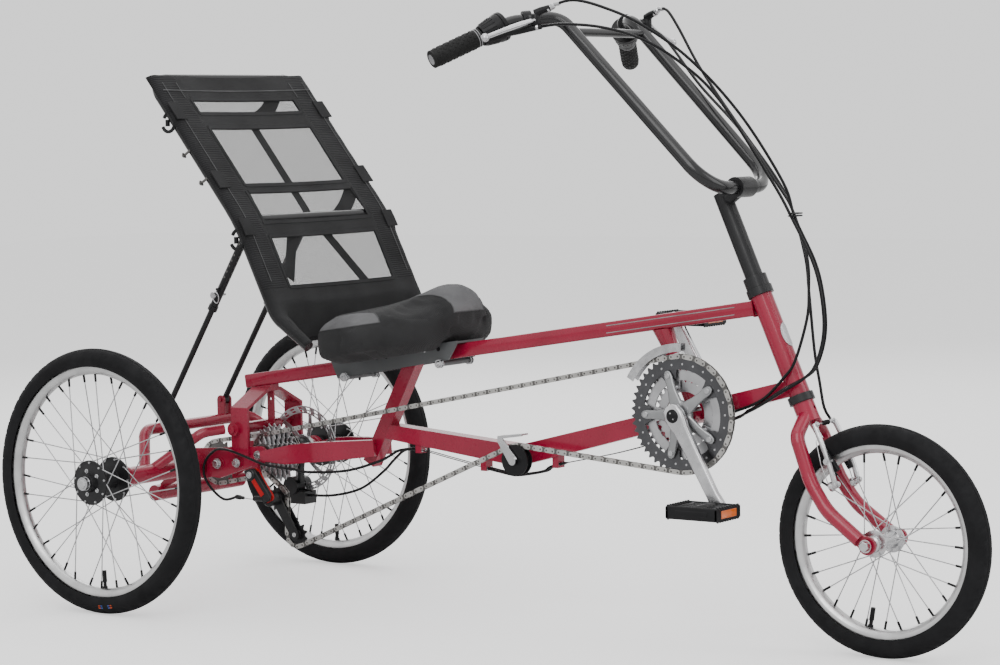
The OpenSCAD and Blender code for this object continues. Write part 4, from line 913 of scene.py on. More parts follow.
def disc():
    """Brake disc: a ring with rows of slanted slots, on six curved arms."""
    y0 = 51.6
    build = Build()
    steps = 48
    lean = 0.008
    for i in range(steps):
        a0 = 2 * math.pi * i / steps
        a1 = 2 * math.pi * (i + 1) / steps
        # Between two slots the ring is whole, and over a slot it is two bands
        bands = ((66, 80),) if i % 2 else ((66, 68.5), (72, 74), (77.5, 80))
        for r0, r1 in bands:
            quad = []
            for r, a in ((r0, a0), (r1, a0), (r1, a1), (r0, a1)):
                quad.append(polar(MID, r, a + (r - 73) * lean))
            build.prism(quad, y0, y0 + 1.8, 0.05)
    for i in range(6):
        a = math.radians(60 * i)
        path = [(r, a + (r - 22) * 0.006) for r in (20, 32, 44, 56, 68)]
        left = [(MID[0] + r * math.cos(b) - 4 * math.sin(b), MID[1] + r * math.sin(b) + 4 * math.cos(b))
                for r, b in path]
        right = [(MID[0] + r * math.cos(b) + 4 * math.sin(b), MID[1] + r * math.sin(b) - 4 * math.cos(b))
                 for r, b in path]
        build.prism(left + right[::-1], y0 + 0.1, y0 + 1.7, 0.3)
        build.bolt(polar3(MID, 22, a, y0 + 1.6), (0, 1, 0), 3, 3, 0)
    build.lathe([(20, -5), (26, -5), (26.5, 1.8), (20, 1.8)], (MID[0], y0, MID[1]))
    piece("brake_disc_slotted", build, [SATIN], "mid_drive", ["brake_disc"])


# ---- Seat ----
def back_points():
    """The back tube's corners in the side view, from its top, with their bend radii."""
    x, z = HINGE
    return [(x - 283, z + 511), (x - 78, z + 252), (x + 4, z + 83), (x + 79, z + 33)], (260, 60)


def sling_path(off, step=6.0):
    """Points in front of the back tube's centre line, off away from it, from the top down."""
    corners, radii = back_points()
    p = [Vector(q) for q in corners]
    normals = []
    for a, b in zip(p, p[1:]):
        d = (b - a).normalized()
        normals.append(Vector((-d.y, d.x)))
    pts = [p[0] + off * normals[0]]
    for i, r in enumerate(radii):
        n0 = normals[i]
        n1 = normals[i + 1]
        turn = math.acos(n0.dot(n1))
        side = 1 if n0.x * n1.y - n0.y * n1.x > 0 else -1
        mid = (n0 + n1).normalized()
        middle = p[i + 1] + side * mid * r / math.cos(turn / 2)
        for k in range(13):
            m = (n0 * (1 - k / 12) + n1 * (k / 12)).normalized()
            pts.append(middle - side * (r - side * off) * m)
    pts.append(p[3] + off * normals[2])
    length = np.cumsum([0] + [(b - a).length for a, b in zip(pts, pts[1:])])
    n = int(length[-1] / step)
    at = np.linspace(0, length[-1], n)
    return [Vector((np.interp(s, length, [q.x for q in pts]), np.interp(s, length, [q.y for q in pts])))
            for s in at]


ROWS = ((925, 905), (873, 774), (756, 707), (676, 592))


def window_half(z):
    """Half width of the mesh windows at height z."""
    return float(np.interp(z, (592, 676, 707, 774, 925), (147, 148, 152, 139, 141)))


def sling():
    """Woven sling: bands around four rows of netting, with hems, straps and side tabs."""
    path = sling_path(12.0)
    zs = np.array([p.y for p in path])
    levels = sorted({z for row in ROWS for z in row}, reverse=True)
    rows = list(path)
    for z in levels:
        i = int(np.argmin(np.abs(zs - z)))
        rows[i] = Vector((float(np.interp(z, zs[::-1], [p.x for p in path][::-1])), z))
    normals = []
    for i in range(len(rows)):
        d = (rows[min(i + 1, len(rows) - 1)] - rows[max(i - 1, 0)]).normalized()
        normals.append(Vector((-d.y, d.x)))
    half = 219.0
    cols = [-1.0, -0.965, -0.93, -0.86, -0.78, -0.72] + [round(-0.66 + 0.06 * k, 3) for k in range(23)] + \
           [0.72, 0.78, 0.86, 0.93, 0.965, 1.0]

    def y_of(v, z):
        w = window_half(z)
        if abs(v) <= 0.66:
            return v / 0.66 * w
        return math.copysign(w + (abs(v) - 0.66) / 0.34 * (half - w), v)

    def sag(y):
        """How far the cloth hangs back between the tubes."""
        return -SLING_SAG * (1 - min(1.0, abs(y) / half) ** 2)

    def is_open(z, v0, v1):
        mid = abs(v0 + v1) / 2
        return mid < 0.66 and any(lo - 0.1 < z < hi + 0.1 for hi, lo in ROWS)
    cushion_rear = 329 - 9
    bands = Build()
    index = {}
    along = np.cumsum([0] + [(b - a).length for a, b in zip(rows, rows[1:])])

    def vertex(build, index, i, j, off):
        key = (i, j, off)
        if key not in index:
            z = rows[i].y
            v = cols[j]
            y = y_of(v, z)
            wrap = max(0.0, (abs(v) - 0.93) / 0.07)
            soft = -1.6 * math.sin(min(1.0, (1 - abs(v)) / 0.3) * math.pi) * (0.6 + 0.4 * math.sin(i * 0.9))
            shift = off + soft - 9.0 * wrap * wrap
            p = rows[i] + normals[i] * (shift + sag(y))
            # Behind the cushion the cloth hangs straight down; beside it, it follows the tubes
            beside = min(1.0, max(0.0, (abs(y) - 178) / 14))
            if p.x > cushion_rear:
                p.x = cushion_rear + (p.x - cushion_rear) * beside
            index[key] = len(build.verts)
            build.verts.append((p.x, y, p.y))
            build.uvs[index[key]] = (y / 1000, along[i] / 1000)
        return index[key]

    def quad(build, index, i, j, off, slot, flip=False):
        face = [vertex(build, index, i, j, off), vertex(build, index, i + 1, j, off),
                vertex(build, index, i + 1, j + 1, off), vertex(build, index, i, j + 1, off)]
        build.faces.append(tuple(reversed(face)) if flip else tuple(face))
        build.slots.append(slot)
    net = Build()
    net_index = {}
    for i in range(len(rows) - 1):
        z = (rows[i].y + rows[i + 1].y) / 2
        for j in range(len(cols) - 1):
            if is_open(z, cols[j], cols[j + 1]):
                quad(net, net_index, i, j, -1.2, 0)
            else:
                side_band = abs(cols[j] + cols[j + 1]) / 2 > 0.74 and z > 590
                quad(bands, index, i, j, 0.0, 0 if side_band else 1)
    obj = piece("sling_bands", bands, [WEBBING, CLOTH], "backrest", ["seat_back_sling"], 60)
    thick = obj.modifiers.new("Cloth thickness", "SOLIDIFY")
    thick.thickness = 0.0024
    thick.offset = 0
    piece("sling_net", net, NET, "backrest", sharp=60)
    hems = Build()

    def on_sling(y, z, off):
        i = int(np.argmin([abs(r.y - z) for r in rows]))
        x = float(np.interp(z, [r.y for r in rows][::-1], [r.x for r in rows][::-1]))
        p = Vector((x, z)) + normals[i] * (off + sag(y))
        return Vector((p.x, y, p.y))

    def strip(a, b, width, off, slot, bow=0.0, thick=1.6, steps=14):
        """Flat webbing on the sling from a to b, each (y, z), bowed sideways."""
        rings = []
        for k in range(steps + 1):
            t = k / steps
            y = a[0] + (b[0] - a[0]) * t
            z = a[1] + (b[1] - a[1]) * t + bow * math.sin(math.pi * t)
            dy = b[0] - a[0]
            dz = b[1] - a[1] + bow * math.pi * math.cos(math.pi * t)
            n = math.hypot(dy, dz)
            side = (-dz / n, dy / n)
            ring = []
            for w, h in ((-1, 0), (1, 0), (1, 1), (-1, 1)):
                ring.append(on_sling(y + side[0] * w * width / 2, z + side[1] * w * width / 2,
                                     off + h * thick))
            rings.append(ring)
        hems.loft(rings, slot)
    # Straps behind the netting
    strip((-9, 885), (-9, 696), 20, -5.2, 0)
    strip((12, 894), (108, 940), 24, -7.4, 0, bow=-6)
    strip((22, 696), (160, 762), 24, -7.4, 0, bow=-9)
    strip((-72, 690), (-132, 606), 22, -7.4, 0)
    strip((14, 690), (84, 580), 20, -7.4, 0)
    # Hems around the windows and along the bands, one raised fold each
    for hi, lo in ROWS:
        for z in (hi + 3.5, lo - 3.5):
            w = window_half(z) + 3
            strip((-w, z), (w, z), 6, 1.2, 1, thick=0.9, steps=30)
        w = window_half((hi + lo) / 2) + 3.5
        for k in (-1, 1):
            strip((k * w, hi + 4), (k * w, lo - 4), 6, 1.3, 1, thick=0.9, steps=8)
    for k in (-1, 1):
        strip((k * 158, 958), (k * 158, 930), 1.6, 1.4, 2, thick=0.8, steps=6)
        strip((k * 196, 958), (k * 196, 600), 1.6, 1.4, 2, thick=0.8, steps=40)
    strip((-206, 944), (206, 944), 1.6, 1.2, 2, thick=0.8, steps=40)
    # Side tabs, with a loop behind each of two
    for z in (905, 781, 697):
        for k in (-1, 1):
            strip((k * 204, z + 15), (k * 204, z - 15), 28, 1.6, 0, thick=2.0, steps=6)
    piece("sling_straps", hems, [WEBBING, CLOTH, THREAD], "backrest", sharp=50)
    loops = Build()
    for z in (893, 680):
        for k in (-1, 1):
            c = on_sling(k * 214, z, -12)
            path = []
            for a in np.radians(np.linspace(-60, 240, 18)):
                path.append(c + Vector((15.3 * math.sin(a) - 10, 3 * k * math.sin(a / 2), 17 * math.cos(a))))
            loops.tube(path, 3.2, 8, 0)
            loops.tube([c + Vector((-14, 0, 5)), c + Vector((-14, 0, -7))], 4.2, 10, 1)
    for z in (842, 792):
        c = on_sling(-216, z, -16)
        loops.tube([c + Vector((4, 0, 3)), c + Vector((-9, -2, -6))], 2.4, 10, 2)
        loops.bolt(c + Vector((-9, -2, -6)), (-0.8, -0.2, -0.5), 3.6, 4, 2)
    piece("sling_loops", loops, [WEBBING, BLACK_PLASTIC, CHAIN_DARK], "backrest")


def cushion():
    """Wide saddle cushion with a raised nose: a closed crowned form, swollen as cloth, in grey and black."""
    lo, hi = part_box("seat_cushion")
    x0 = lo.x * 1000 + X_MID
    x1 = hi.x * 1000 + X_MID
    half = hi.y * 1000
    bottom = lo.z * 1000
    shrink = 3.0

    def floor_z(x):
        return bottom + (x - x0) * BEAM_SLOPE

    def width(x):
        """Half width of the plan at x: full at the rear, narrowing to a round nose."""
        t = (x - x0) / (x1 - x0)
        body = np.interp(t, (0, 0.35, 0.6, 0.8, 0.92, 1.0), (1.0, 1.0, 0.96, 0.84, 0.70, 0.56)) * half
        ends = (1 - abs(2 * t - 1) ** 5) ** 0.5 if t < 0.5 else (1 - (2 * t - 1) ** 4.5) ** 0.5
        return max(0.0, float(body) * ends)

    def top_h(x, y):
        """Height of the top over the floor plane."""
        t = (x - x0) / (x1 - x0)
        ridge = np.interp(t, (0, 0.25, 0.5, 0.62, 0.74, 0.86, 1.0), (70, 75, 80, 88, 98, 101, 92))
        side = np.interp(t, (0, 0.4, 0.7, 1.0), (66, 66, 64, 62))
        v = min(1.0, abs(y) / np.interp(t, (0, 0.5, 1.0), (200, 150, 110)))
        fall = v * v * (3 - 2 * v)
        dip = 5 * math.exp(-(y / 26) ** 2) * max(0.0, 1 - 2 * abs(t - 0.3))
        return float(ridge + (side - ridge) * fall - dip)
    n = 48
    xs = [(x0 + x1) / 2 + (x1 - x0) / 2 * math.cos(math.pi * k / n) for k in range(2 * n)]
    outline = [(x, width(x) * (1 if k <= n else -1)) for k, x in enumerate(xs)]
    mid = (x0 + x1) / 2
    build = Build()
    rings = []
    for share, level in ((0.4, 0), (0.85, 0), (0.96, 0.05), (0.99, 0.2), (1.0, 0.45), (0.995, 0.66),
                         (0.975, 0.82), (0.935, 0.93), (0.87, 0.985), (0.74, 1.0), (0.55, 1.0), (0.35, 1.0),
                         (0.16, 1.0), (0.04, 1.0)):
        ring = []
        for ox, oy in outline:
            x = mid + (ox - mid) * share * (1 - 2 * shrink / (x1 - x0))
            y = oy * share * (1 - shrink / half)
            base = 1.5 - 7 * min(1.0, max(0.0, (abs(y) - 42) / 20))
            ring.append((x, y, floor_z(x) + base + (top_h(x, y) - shrink - base) * level))
        rings.append(ring)
    build.loft(rings)
    obj = piece("cushion_cover", build, [CUSHION_DARK, CUSHION_GREY], "frame",
                ["seat_cushion"], sharp=80)
    swell(obj, 0.008)
    # Black thigh panels: outer and inner border in plan, as (x, |y|)
    outer = [(x0 + 30, 112), (x0 + 105, 116), (x0 + 150, 128), (x0 + 190, 152)]
    inner = [(x0 + 30, 108), (x0 + 105, 74), (x0 + 180, 54), (x0 + 240, 46), (x0 + 276, 44)]
    seam_h = 50.0
    bm = bmesh.new()
    bm.from_mesh(obj.data)

    def cut(point, normal):
        bmesh.ops.bisect_plane(bm, geom=bm.verts[:] + bm.edges[:] + bm.faces[:], dist=0.00002,
                               plane_co=((point[0] - X_MID) / 1000, point[1] / 1000, point[2] / 1000),
                               plane_no=normal)
    cut((x0, 0, bottom + seam_h), Vector((-BEAM_SLOPE, 0, 1)).normalized())
    for k in (-1, 1):
        for line in (outer, inner):
            for a, b in zip(line, line[1:]):
                d = Vector((b[0] - a[0], k * (b[1] - a[1]), 0)).normalized()
                cut((a[0], k * a[1], 0), Vector((-d.y, d.x, 0)))
    for face in bm.faces:
        c = face.calc_center_median() * 1000
        x = c.x + X_MID
        y = abs(c.y)
        low = np.interp(x, [q[0] for q in inner], [q[1] for q in inner])
        high = np.interp(x, [q[0] for q in outer], [q[1] for q in outer]) if x < outer[-1][0] else 400
        swoosh = x > outer[0][0] and low < y < high
        face.material_index = 0 if c.z - floor_z(x) < seam_h or swoosh else 1
        face.smooth = True
    # Piping along the seams, from the border edges
    marks = []
    for edge in bm.edges:
        if len(edge.link_faces) == 2 and len({f.material_index for f in edge.link_faces}) == 2:
            marks.append([v.co.copy() for v in edge.verts] + [v.normal.copy() for v in edge.verts])
    bm.to_mesh(obj.data)
    bm.free()
    obj.data.update()
    pipe = Build()
    for a, b, na, nb in marks:
        if (b - a).length < 0.0006:
            continue
        pts = [Vector((p.x * 1000 + X_MID, p.y * 1000, p.z * 1000)) + 0.15 * q for p, q in ((a, na), (b, nb))]
        u = (pts[1] - pts[0]).normalized() * 0.4
        pipe.tube([pts[0] - u, pts[1] + u], 1.0, 6)
    piece("cushion_piping", pipe, THREAD, "frame")


def swell(obj, cap):
    """Swells a closed form as pressurised cloth; no point moves more than cap metres."""
    scene = bpy.context.scene
    bpy.context.view_layer.objects.active = obj
    remesh = obj.modifiers.new("Even mesh", "REMESH")
    remesh.mode = "VOXEL"
    remesh.voxel_size = 0.0055
    remesh.use_smooth_shade = True
    bake(obj)
    rest = np.array([v.co[:] for v in obj.data.vertices])
    cloth = obj.modifiers.new("Pressure", "CLOTH")
    cloth.settings.use_pressure = True
    cloth.settings.uniform_pressure_force = 4.0
    cloth.settings.effector_weights.gravity = 0.0
    cloth.settings.quality = 5
    for f in range(1, 21):
        scene.frame_set(f)
    bake(obj)
    scene.frame_set(1)
    now = np.array([v.co[:] for v in obj.data.vertices])
    move = now - rest
    size = np.linalg.norm(move, axis=1)[:, None]
    now = rest + move * np.minimum(1.0, cap / np.maximum(size, 1e-9))
    obj.data.vertices.foreach_set("co", now.astype(np.float32).ravel())
    obj.data.update()


def bake(obj):
    """Applies the modifiers of a piece to its mesh."""
    depsgraph = bpy.context.evaluated_depsgraph_get()
    mesh = bpy.data.meshes.new_from_object(obj.evaluated_get(depsgraph), preserve_all_data_layers=True,
                                           depsgraph=depsgraph)
    obj.modifiers.clear()
    obj.data = mesh


# ---- Frame ----
def beams():
    """The upper beam as a square tube with rounded corners, an end cap and a weld bead; the frame's other
    parts keep their shapes and get their finishes.
    """
    lo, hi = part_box("upper_beam")
    tail = Vector((BEAM_TAIL[0], 0, BEAM_TAIL[1]))
    nose = Vector(head(427, 0))
    build = Build()
    u = (nose - tail).normalized()
    build.bar(tail, nose - 19 * u, BEAM, BEAM, 3.2)
    build.bar(tail - 0.8 * u, tail + 3 * u, BEAM - 2, BEAM - 2, 3, slot=1)
    weld_ring(build, nose - 18.5 * u, u, BEAM, BEAM)
    piece("upper_beam_tube", build, [CHERRY, BLACK_PLASTIC], "frame", ["upper_beam"])
    for n in ("head_tube", "front_mast", "rear_yoke", "rear_stays", "rear_hoop", "axle_housings",
              "hub_plates", "chainstays", "diagonal_strut", "lower_beam", "fork", "cable_guides"):
        finish_node(n, CHERRY)
    for n in ("headset_cups", "stem", "brake_caliper", "strut_rods", "strut_sleeves"):
        finish_node(n, BLACK_METAL)
    for n in ("handlebar", "seat_back_frame"):
        finish_node(n, BLACK_GLOSS)
    finish_node("seat_bracket", PLATE_GREY)
    for n in ("mid_axle", "front_derailleur", "idler_bracket"):
        finish_node(n, SILVER)
    finish_node("idler_wheel", BLACK_PLASTIC)


def weld_ring(build, at, u, w, h, slot=0):
    """A weld bead around a rectangular tube's end."""
    at = Vector(at)
    top = Vector((0, 1, 0)).cross(u).normalized()
    pts = [at + y * Vector((0, 1, 0)) + z * top for y, z in rounded_rect(w + 0.6, h + 0.6, 3.4, 6)]
    wave = [1.5 + 0.35 * math.sin(2.4 * i) for i in range(len(pts))]
    build.tube(pts, wave, 6, slot, closed=True)


# ---- Cables ----
ROUTES = {
    "right_brake": ((903, -158, 1065), (941, -160, 1070), (989, -153, 1058), (1050, -130, 1028),
                    (1120, -90, 968), (1187, -46, 877), (1243, -9, 767), (1262, -4, 708), (1297, 0, 635),
                    (1312, -1, 576), (1315, -3, 520), (1305, -13, 471), (1287, -21, 451),
                    (1248, -25, 430), (1205, -20, 405), (1174, -13, 391)),
    "right_shift": ((883, -169, 1029), (930, -174, 1031), (995, -162, 1024), (1056, -140, 1004),
                    (1110, -105, 964), (1163, -72, 902), (1229, -22, 770), (1262, -12, 706),
                    (1297, -8, 635), (1312, -8, 576), (1315, -10, 520), (1305, -20, 471),
                    (1287, -28, 449), (1248, -32, 426), (1205, -28, 402), (1174, -20, 388)),
    "left_shift": ((883, 169, 1029), (925, 150, 1006), (1013, 110, 930), (1122, 60, 852), (1226, 10, 757),
                   (1254, 4, 718), (1282, -2, 646), (1288, -8, 589), (1287, -14, 544), (1269, -23, 476),
                   (1247, -25, 447), (1212, -22, 415), (1178, -20, 398)),
    "left_brake": ((903, 158, 1065), (922, 153, 1061), (952, 141, 1030), (1008, 120, 959),
                   (1103, 75, 869), (1211, 24, 773), (1249, 12, 718), (1271, 12, 644), (1277, 12, 588),
                   (1287, 10, 493), (1296, 10, 441), (1302, 13, 400), (1307, 24, 381)),
    "rear_shift": ((1173, -20, 388), (1146, -9, 376), (1057, -8, 348), (916, -8, 308), (784, -8, 279),
                   (758, -8, 267), (726, -8, 260), (694, -8, 256), (661, -8, 260), (629, -8, 265),
                   (552, -8, 278), (484, -8, 289), (442, -12, 287), (425, -20, 277), (405, -30, 266),
                   (354, -60, 250), (283, -82, 246), (253, -88, 250), (192, -96, 256), (134, -96, 271),
                   (92, -90, 278), (61, -84, 275), (35, -80, 258), (26, -80, 240), (29, -80, 220),
                   (48, -80, 198), (78, -82, 183), (110, -84, 190)),
    "rear_brake": ((1173, -13, 391), (1146, 1, 378), (1057, 2, 348), (916, 2, 308), (784, 2, 279),
                   (758, 2, 267), (726, 2, 260), (694, 2, 256), (661, 2, 260), (629, 2, 265),
                   (552, 2, 278), (484, 2, 289), (442, 5, 286), (405, 16, 264), (372, 26, 240),
                   (310, 38, 204), (240, 44, 186), (177, 44, 182)),
    "front_shift": ((1177, -20, 398), (1140, -21, 384), (1105, -20, 364), (1066, -20, 356),
                    (1034, -20, 366), (1018, -20, 390), (1003, -20, 430), (1000, -20, 462)),
}


def cables():
    """Housings along their whole routes, with silver ferrules; bare wire between the stops."""
    crossing = Build()
    for name in ("right_brake", "right_shift", "left_shift"):
        crossing.tube(smooth(ROUTES[name], 9), CABLE_D / 2, 10)
    made = piece("steering_cable_housings", crossing, [HOUSING, SILVER], "steering",
                 ["steering_cables"])
    made.parent = None
    made.matrix_world = Matrix.Identity(4)
    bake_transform(made)
    build = Build()
    build.tube(smooth(ROUTES["left_brake"], 9), CABLE_D / 2, 10)
    for name in ("right_brake", "left_brake"):
        p = [Vector(q) for q in ROUTES[name][:2]]
        u = (p[1] - p[0]).normalized()
        build.tube([p[0] - 2 * u, p[0] + 9 * u], 3.4, 12, 1)
    # The tie that gathers the four housings above the stem
    c = Vector((1260, 4, 712))
    for k in range(2):
        ring = []
        for y, z in rounded_rect(31, 12, 5, 6):
            ring.append(c + Vector((z, y - 4, 4 * k)))
        build.tube(ring, 1.3, 6, 2, closed=True)
    piece("front_brake_cable_housing", build, [HOUSING, SILVER, BLACK_PLASTIC], "steering",
          ["front_brake_cable"])
    build = Build()
    for name in ("rear_shift", "rear_brake"):
        path = smooth(ROUTES[name], 8)
        # Bare wire between the first two stops and between the last two; a housing passes the idler
        radius = [0.9 if (800 < p.x < 1124 or 488 < p.x < 630) else CABLE_D / 2 for p in path]
        build.tube(path, radius, 10)
        for x in (1128, 784, 629, 484):
            i = min(range(len(path)), key=lambda n: abs(path[n].x - x))
            u = (path[i + 1] - path[i]).normalized()
            build.tube([path[i] - 6 * u, path[i] + 6 * u], 3.1, 12, 1)
    build.tube(smooth(ROUTES["front_shift"], 8), CABLE_D / 2, 10)
    piece("frame_cable_runs", build, [HOUSING, SILVER], "frame", ["frame_cables"])


# ---- Controls, fittings and trim ----
CLAMP = Vector(head(624, 39))
BAR_TOP = CLAMP + Vector((-283, 108, 287))
BAR_KNEE = CLAMP + Vector((-338, 170, 280))
BAR_END = CLAMP + Vector((-408, 293, 220))
BAR_D = 22.2
# Along the bar's end, in front of it, and across both
BAR_U = (BAR_END - BAR_KNEE).normalized()
BAR_FWD = BAR_U.cross(Vector((0, 0, 1))).normalized()
BAR_UP = BAR_U.cross(BAR_FWD)


def brake_levers():
    """Brake lever, clamp and cable barrel of the left end; the right end mirrors them."""
    v = (BAR_TOP - BAR_KNEE).normalized()
    ring = BAR_KNEE + 26 * v
    pivot = ring + 36 * BAR_FWD
    tip = CLAMP + Vector((-310, 283, 251))
    out = CLAMP + Vector((-258, 158, 306))
    lever = Build()
    lever.lathe([(BAR_D / 2 + 0.1, -7), (BAR_D / 2 + 4.6, -7), (BAR_D / 2 + 5, -6), (BAR_D / 2 + 5, 6),
                 (BAR_D / 2 + 4.6, 7), (BAR_D / 2 + 0.1, 7)], ring, v, 32, 0, closed=True)
    lever.tube([ring + 12 * BAR_FWD, ring + 20 * BAR_FWD, pivot], [9, 7, 8], 14, 0)
    lever.tube([pivot + Vector((0, 0, 9)), pivot.lerp(out, 0.3) + Vector((0, 0, 7)), out.lerp(pivot, 0.22)],
               [8, 6.4, 5.4], 14, 0)
    barrel = (out - pivot).normalized()
    lever.lathe([(0, 0), (5.4, 0), (5.4, 3), (4.2, 3.4), (4.2, 6), (5.4, 6.4), (5.4, 12), (3.6, 14), (0, 14)],
                out - 15 * barrel, barrel, 16, 1)
    lever.bolt(pivot + Vector((0, 0, 8)), (0, 0, 1), 3.2, 4, 1, 1.3)
    lever.lathe([(0, -9), (8, -9), (8.2, -8), (8.2, 7), (7.4, 8.4), (0, 8.4)], pivot, (0, 0, 1), 24, 0)
    # Blade: flattened at the pivot, curved to its ball end
    bow = -5 * (tip - pivot).normalized().cross(Vector((0, 0, 1)))
    rings = []
    for t in np.linspace(0.05, 0.97, 15):
        c = pivot.lerp(tip, t) + math.sin(math.pi * t) * bow
        w = float(np.interp(t, (0, 0.2, 0.6, 1), (7.5, 6, 4.6, 3.6)))
        h = float(np.interp(t, (0, 0.3, 1), (3.2, 4.6, 3.6)))
        d = (tip - pivot).normalized()
        side = d.cross(Vector((0, 0, 1))).normalized()
        rings.append([c + w * math.cos(a) * side + h * math.sin(a) * side.cross(d)
                      for a in np.linspace(0, 2 * math.pi, 16, endpoint=False)])
    lever.loft(rings, 1)
    ball = [(7 * math.cos(a), 7 * math.sin(a)) for a in np.linspace(-1.4, 1.4, 11)]
    lever.lathe([(0, -7)] + ball + [(0, 7)], tip, (0, 0, 1), 20, 1)
    piece("lever_set", mirrored(lever), [BLACK_PLASTIC, SILVER], "steering", ["brake_levers"])


def grips():
    """Rubber grip with rows of small blocks, an end cap and a pale double ring, on both ends."""
    grip = Build()
    grip.lathe([(11.3, 0), (14.6, 0), (15.4, 1), (15.4, 90), (14.6, 92), (11.3, 92)],
               BAR_END - 92 * BAR_U, BAR_U, 40, 0, closed=True)
    grip.lathe([(0, 0), (15, 0), (15.4, 1), (15.4, 3), (14, 4), (0, 4)], BAR_END, BAR_U, 40, 0)
    grip.lathe([(0, 4), (9, 4), (9, 4.5), (0, 4.5)], BAR_END, BAR_U, 32, 1)
    for w in (-87, -83):
        grip.lathe([(15.2, w), (15.8, w), (15.8, w + 1.4), (15.2, w + 1.4)],
                   BAR_END, BAR_U, 40, 1, closed=True)
    for i in range(12):
        for k in range(10):
            a = 2 * math.pi * (k + 0.5 * (i % 2)) / 10
            n = math.cos(a) * BAR_FWD + math.sin(a) * BAR_UP
            w = -n.cross(BAR_U)
            c = BAR_END - (8 + 6.2 * i) * BAR_U + 15.2 * n
            grip.loft([[c + 3.0 * BAR_U, c + 3.6 * w, c - 3.0 * BAR_U, c - 3.6 * w],
                       [c + 2.2 * BAR_U + 0.9 * n, c + 2.7 * w + 0.9 * n, c - 2.2 * BAR_U + 0.9 * n,
                        c - 2.7 * w + 0.9 * n]], 0)
    piece("grip_pair", mirrored(grip), [GRIP, GREY_PLASTIC], "steering", ["grips"])


def shifters():
    """Ribbed twist shifter with its cable's exit, on both ends."""
    twist = Build()
    twist.lathe([(11.4, 93), (17, 93), (18, 95), (22.5, 118), (24.6, 126), (24.6, 128.4), (23.6, 129),
                 (23.6, 130), (25, 130.6), (25, 136), (24, 137.4), (11.4, 137.4)],
                BAR_END, -BAR_U, 48, 0, closed=True)
    for k in range(18):
        a = 2 * math.pi * k / 18
        n = math.cos(a) * BAR_FWD + math.sin(a) * BAR_UP
        twist.tube([BAR_END - 97 * BAR_U + 18.2 * n, BAR_END - 118 * BAR_U + 22.4 * n], 1.1, 6, 0)
    exit_at = CLAMP + Vector((-278, 168, 270))
    root = BAR_END - 131 * BAR_U + 12 * BAR_FWD - Vector((0, 0, 10))
    twist.tube([root, root.lerp(exit_at, 0.4), root.lerp(exit_at, 0.8), exit_at], [7.6, 6.8, 5, 4.2], 16, 0)
    twist.lathe([(0, 0), (4.8, 0), (4.8, 7), (3.4, 9), (0, 9)], exit_at.lerp(root, 0.2),
                (exit_at - root).normalized(), 14, 1)
    piece("twist_shifters", mirrored(twist), [BLACK_PLASTIC, SILVER], "steering",
          ["shifters"])


def frame_bolts():
    """Bolts of the hub plates, the seat bracket and the struts' feet."""
    build = Build()
    rear = Vector((REAR[0], 0, REAR[1]))
    for k in (-1, 1):
        for dx, dz, r in ((60, 8, 7.5), (108, 12, 6.5)):
            build.bolt(rear + Vector((dx, k * 80, dz)), (0, k, 0), r, 7, 0, 1.35)
    # Seat bracket: cross bolts with two nuts each, small bolts, and black discs that paint the shade inside
    # its holes
    x0 = HINGE[0] - 9
    for x in (x0 + 34, x0 + 251):
        z = beam_z(x) - BEAM / 2 - 6
        for k in (-1, 1):
            for off, h in ((40, 6), (46.6, 5)):
                build.bolt((x, k * off, z), (0, k, 0), 6, h, 0, 1.3)
            build.tube([(x, k * 50, z), (x, k * 55, z)], 3, 12, 0)
    for x in (x0 + 84, x0 + 216):
        z = beam_z(x) + BEAM / 2 - 4
        build.lathe([(0, 0), (4, 0), (3.4, 1.8), (0, 2.4)], (x, -40, z), (0, -1, 0), 16, 0)
    # Black discs of painted shade where the bracket's holes are
    for x, dz, r in ((x0 + 66, -38, 3), (x0 + 106, -5, 4), (x0 + 128, -5, 4), (x0 + 246, -5, 4)):
        z = beam_z(x) + BEAM / 2 + dz
        build.lathe([(0, 0), (r, 0), (r, 0.5), (0, 0.5)], (x, -40, z), (0, -1, 0), 16, 1)
    # Bolts through the struts' feet
    for k in (-1, 1):
        build.bolt(STRUT_FOOT + Vector((0, k * 90, 0)), (0, k, 0), 4.5, 5, 0, 1.4)
    piece("frame_bolts", build, [SILVER, BLACK_PLASTIC], "frame")


def head_badge():
    """Blank oval badge wrapped on the head tube's front."""
    badge = Build()
    rings = []
    for t in np.linspace(-1, 1, 13):
        reach = math.sqrt(max(0.0, 1 - t * t)) * 0.62
        rings.append([head(371 + 21 * t, r * math.cos(a), r * math.sin(a))
                      for r, a in [(17.6, -reach - 0.02), (18.9, -reach)] +
                      [(19.3, b) for b in np.linspace(-reach, reach, 7)] +
                      [(18.9, reach), (17.6, reach + 0.02)]])
    badge.loft(rings, 0)
    piece("head_badge", badge, SATIN, "frame", sharp=60)


def beam_stripe():
    """Two plain pale stripes on each side of the upper beam, in place of its lettering."""
    stripe = Build()
    for k in (-1, 1):
        for dz in (6.2, -6.2):
            a, b = [(x, k * (BEAM / 2 + 0.12), beam_z(x) + dz) for x in (895, 1150)]
            stripe.bar(a, b, 0.4, 1.5, 0.15)
    piece("beam_stripe", stripe, GREY_PLASTIC, "frame")


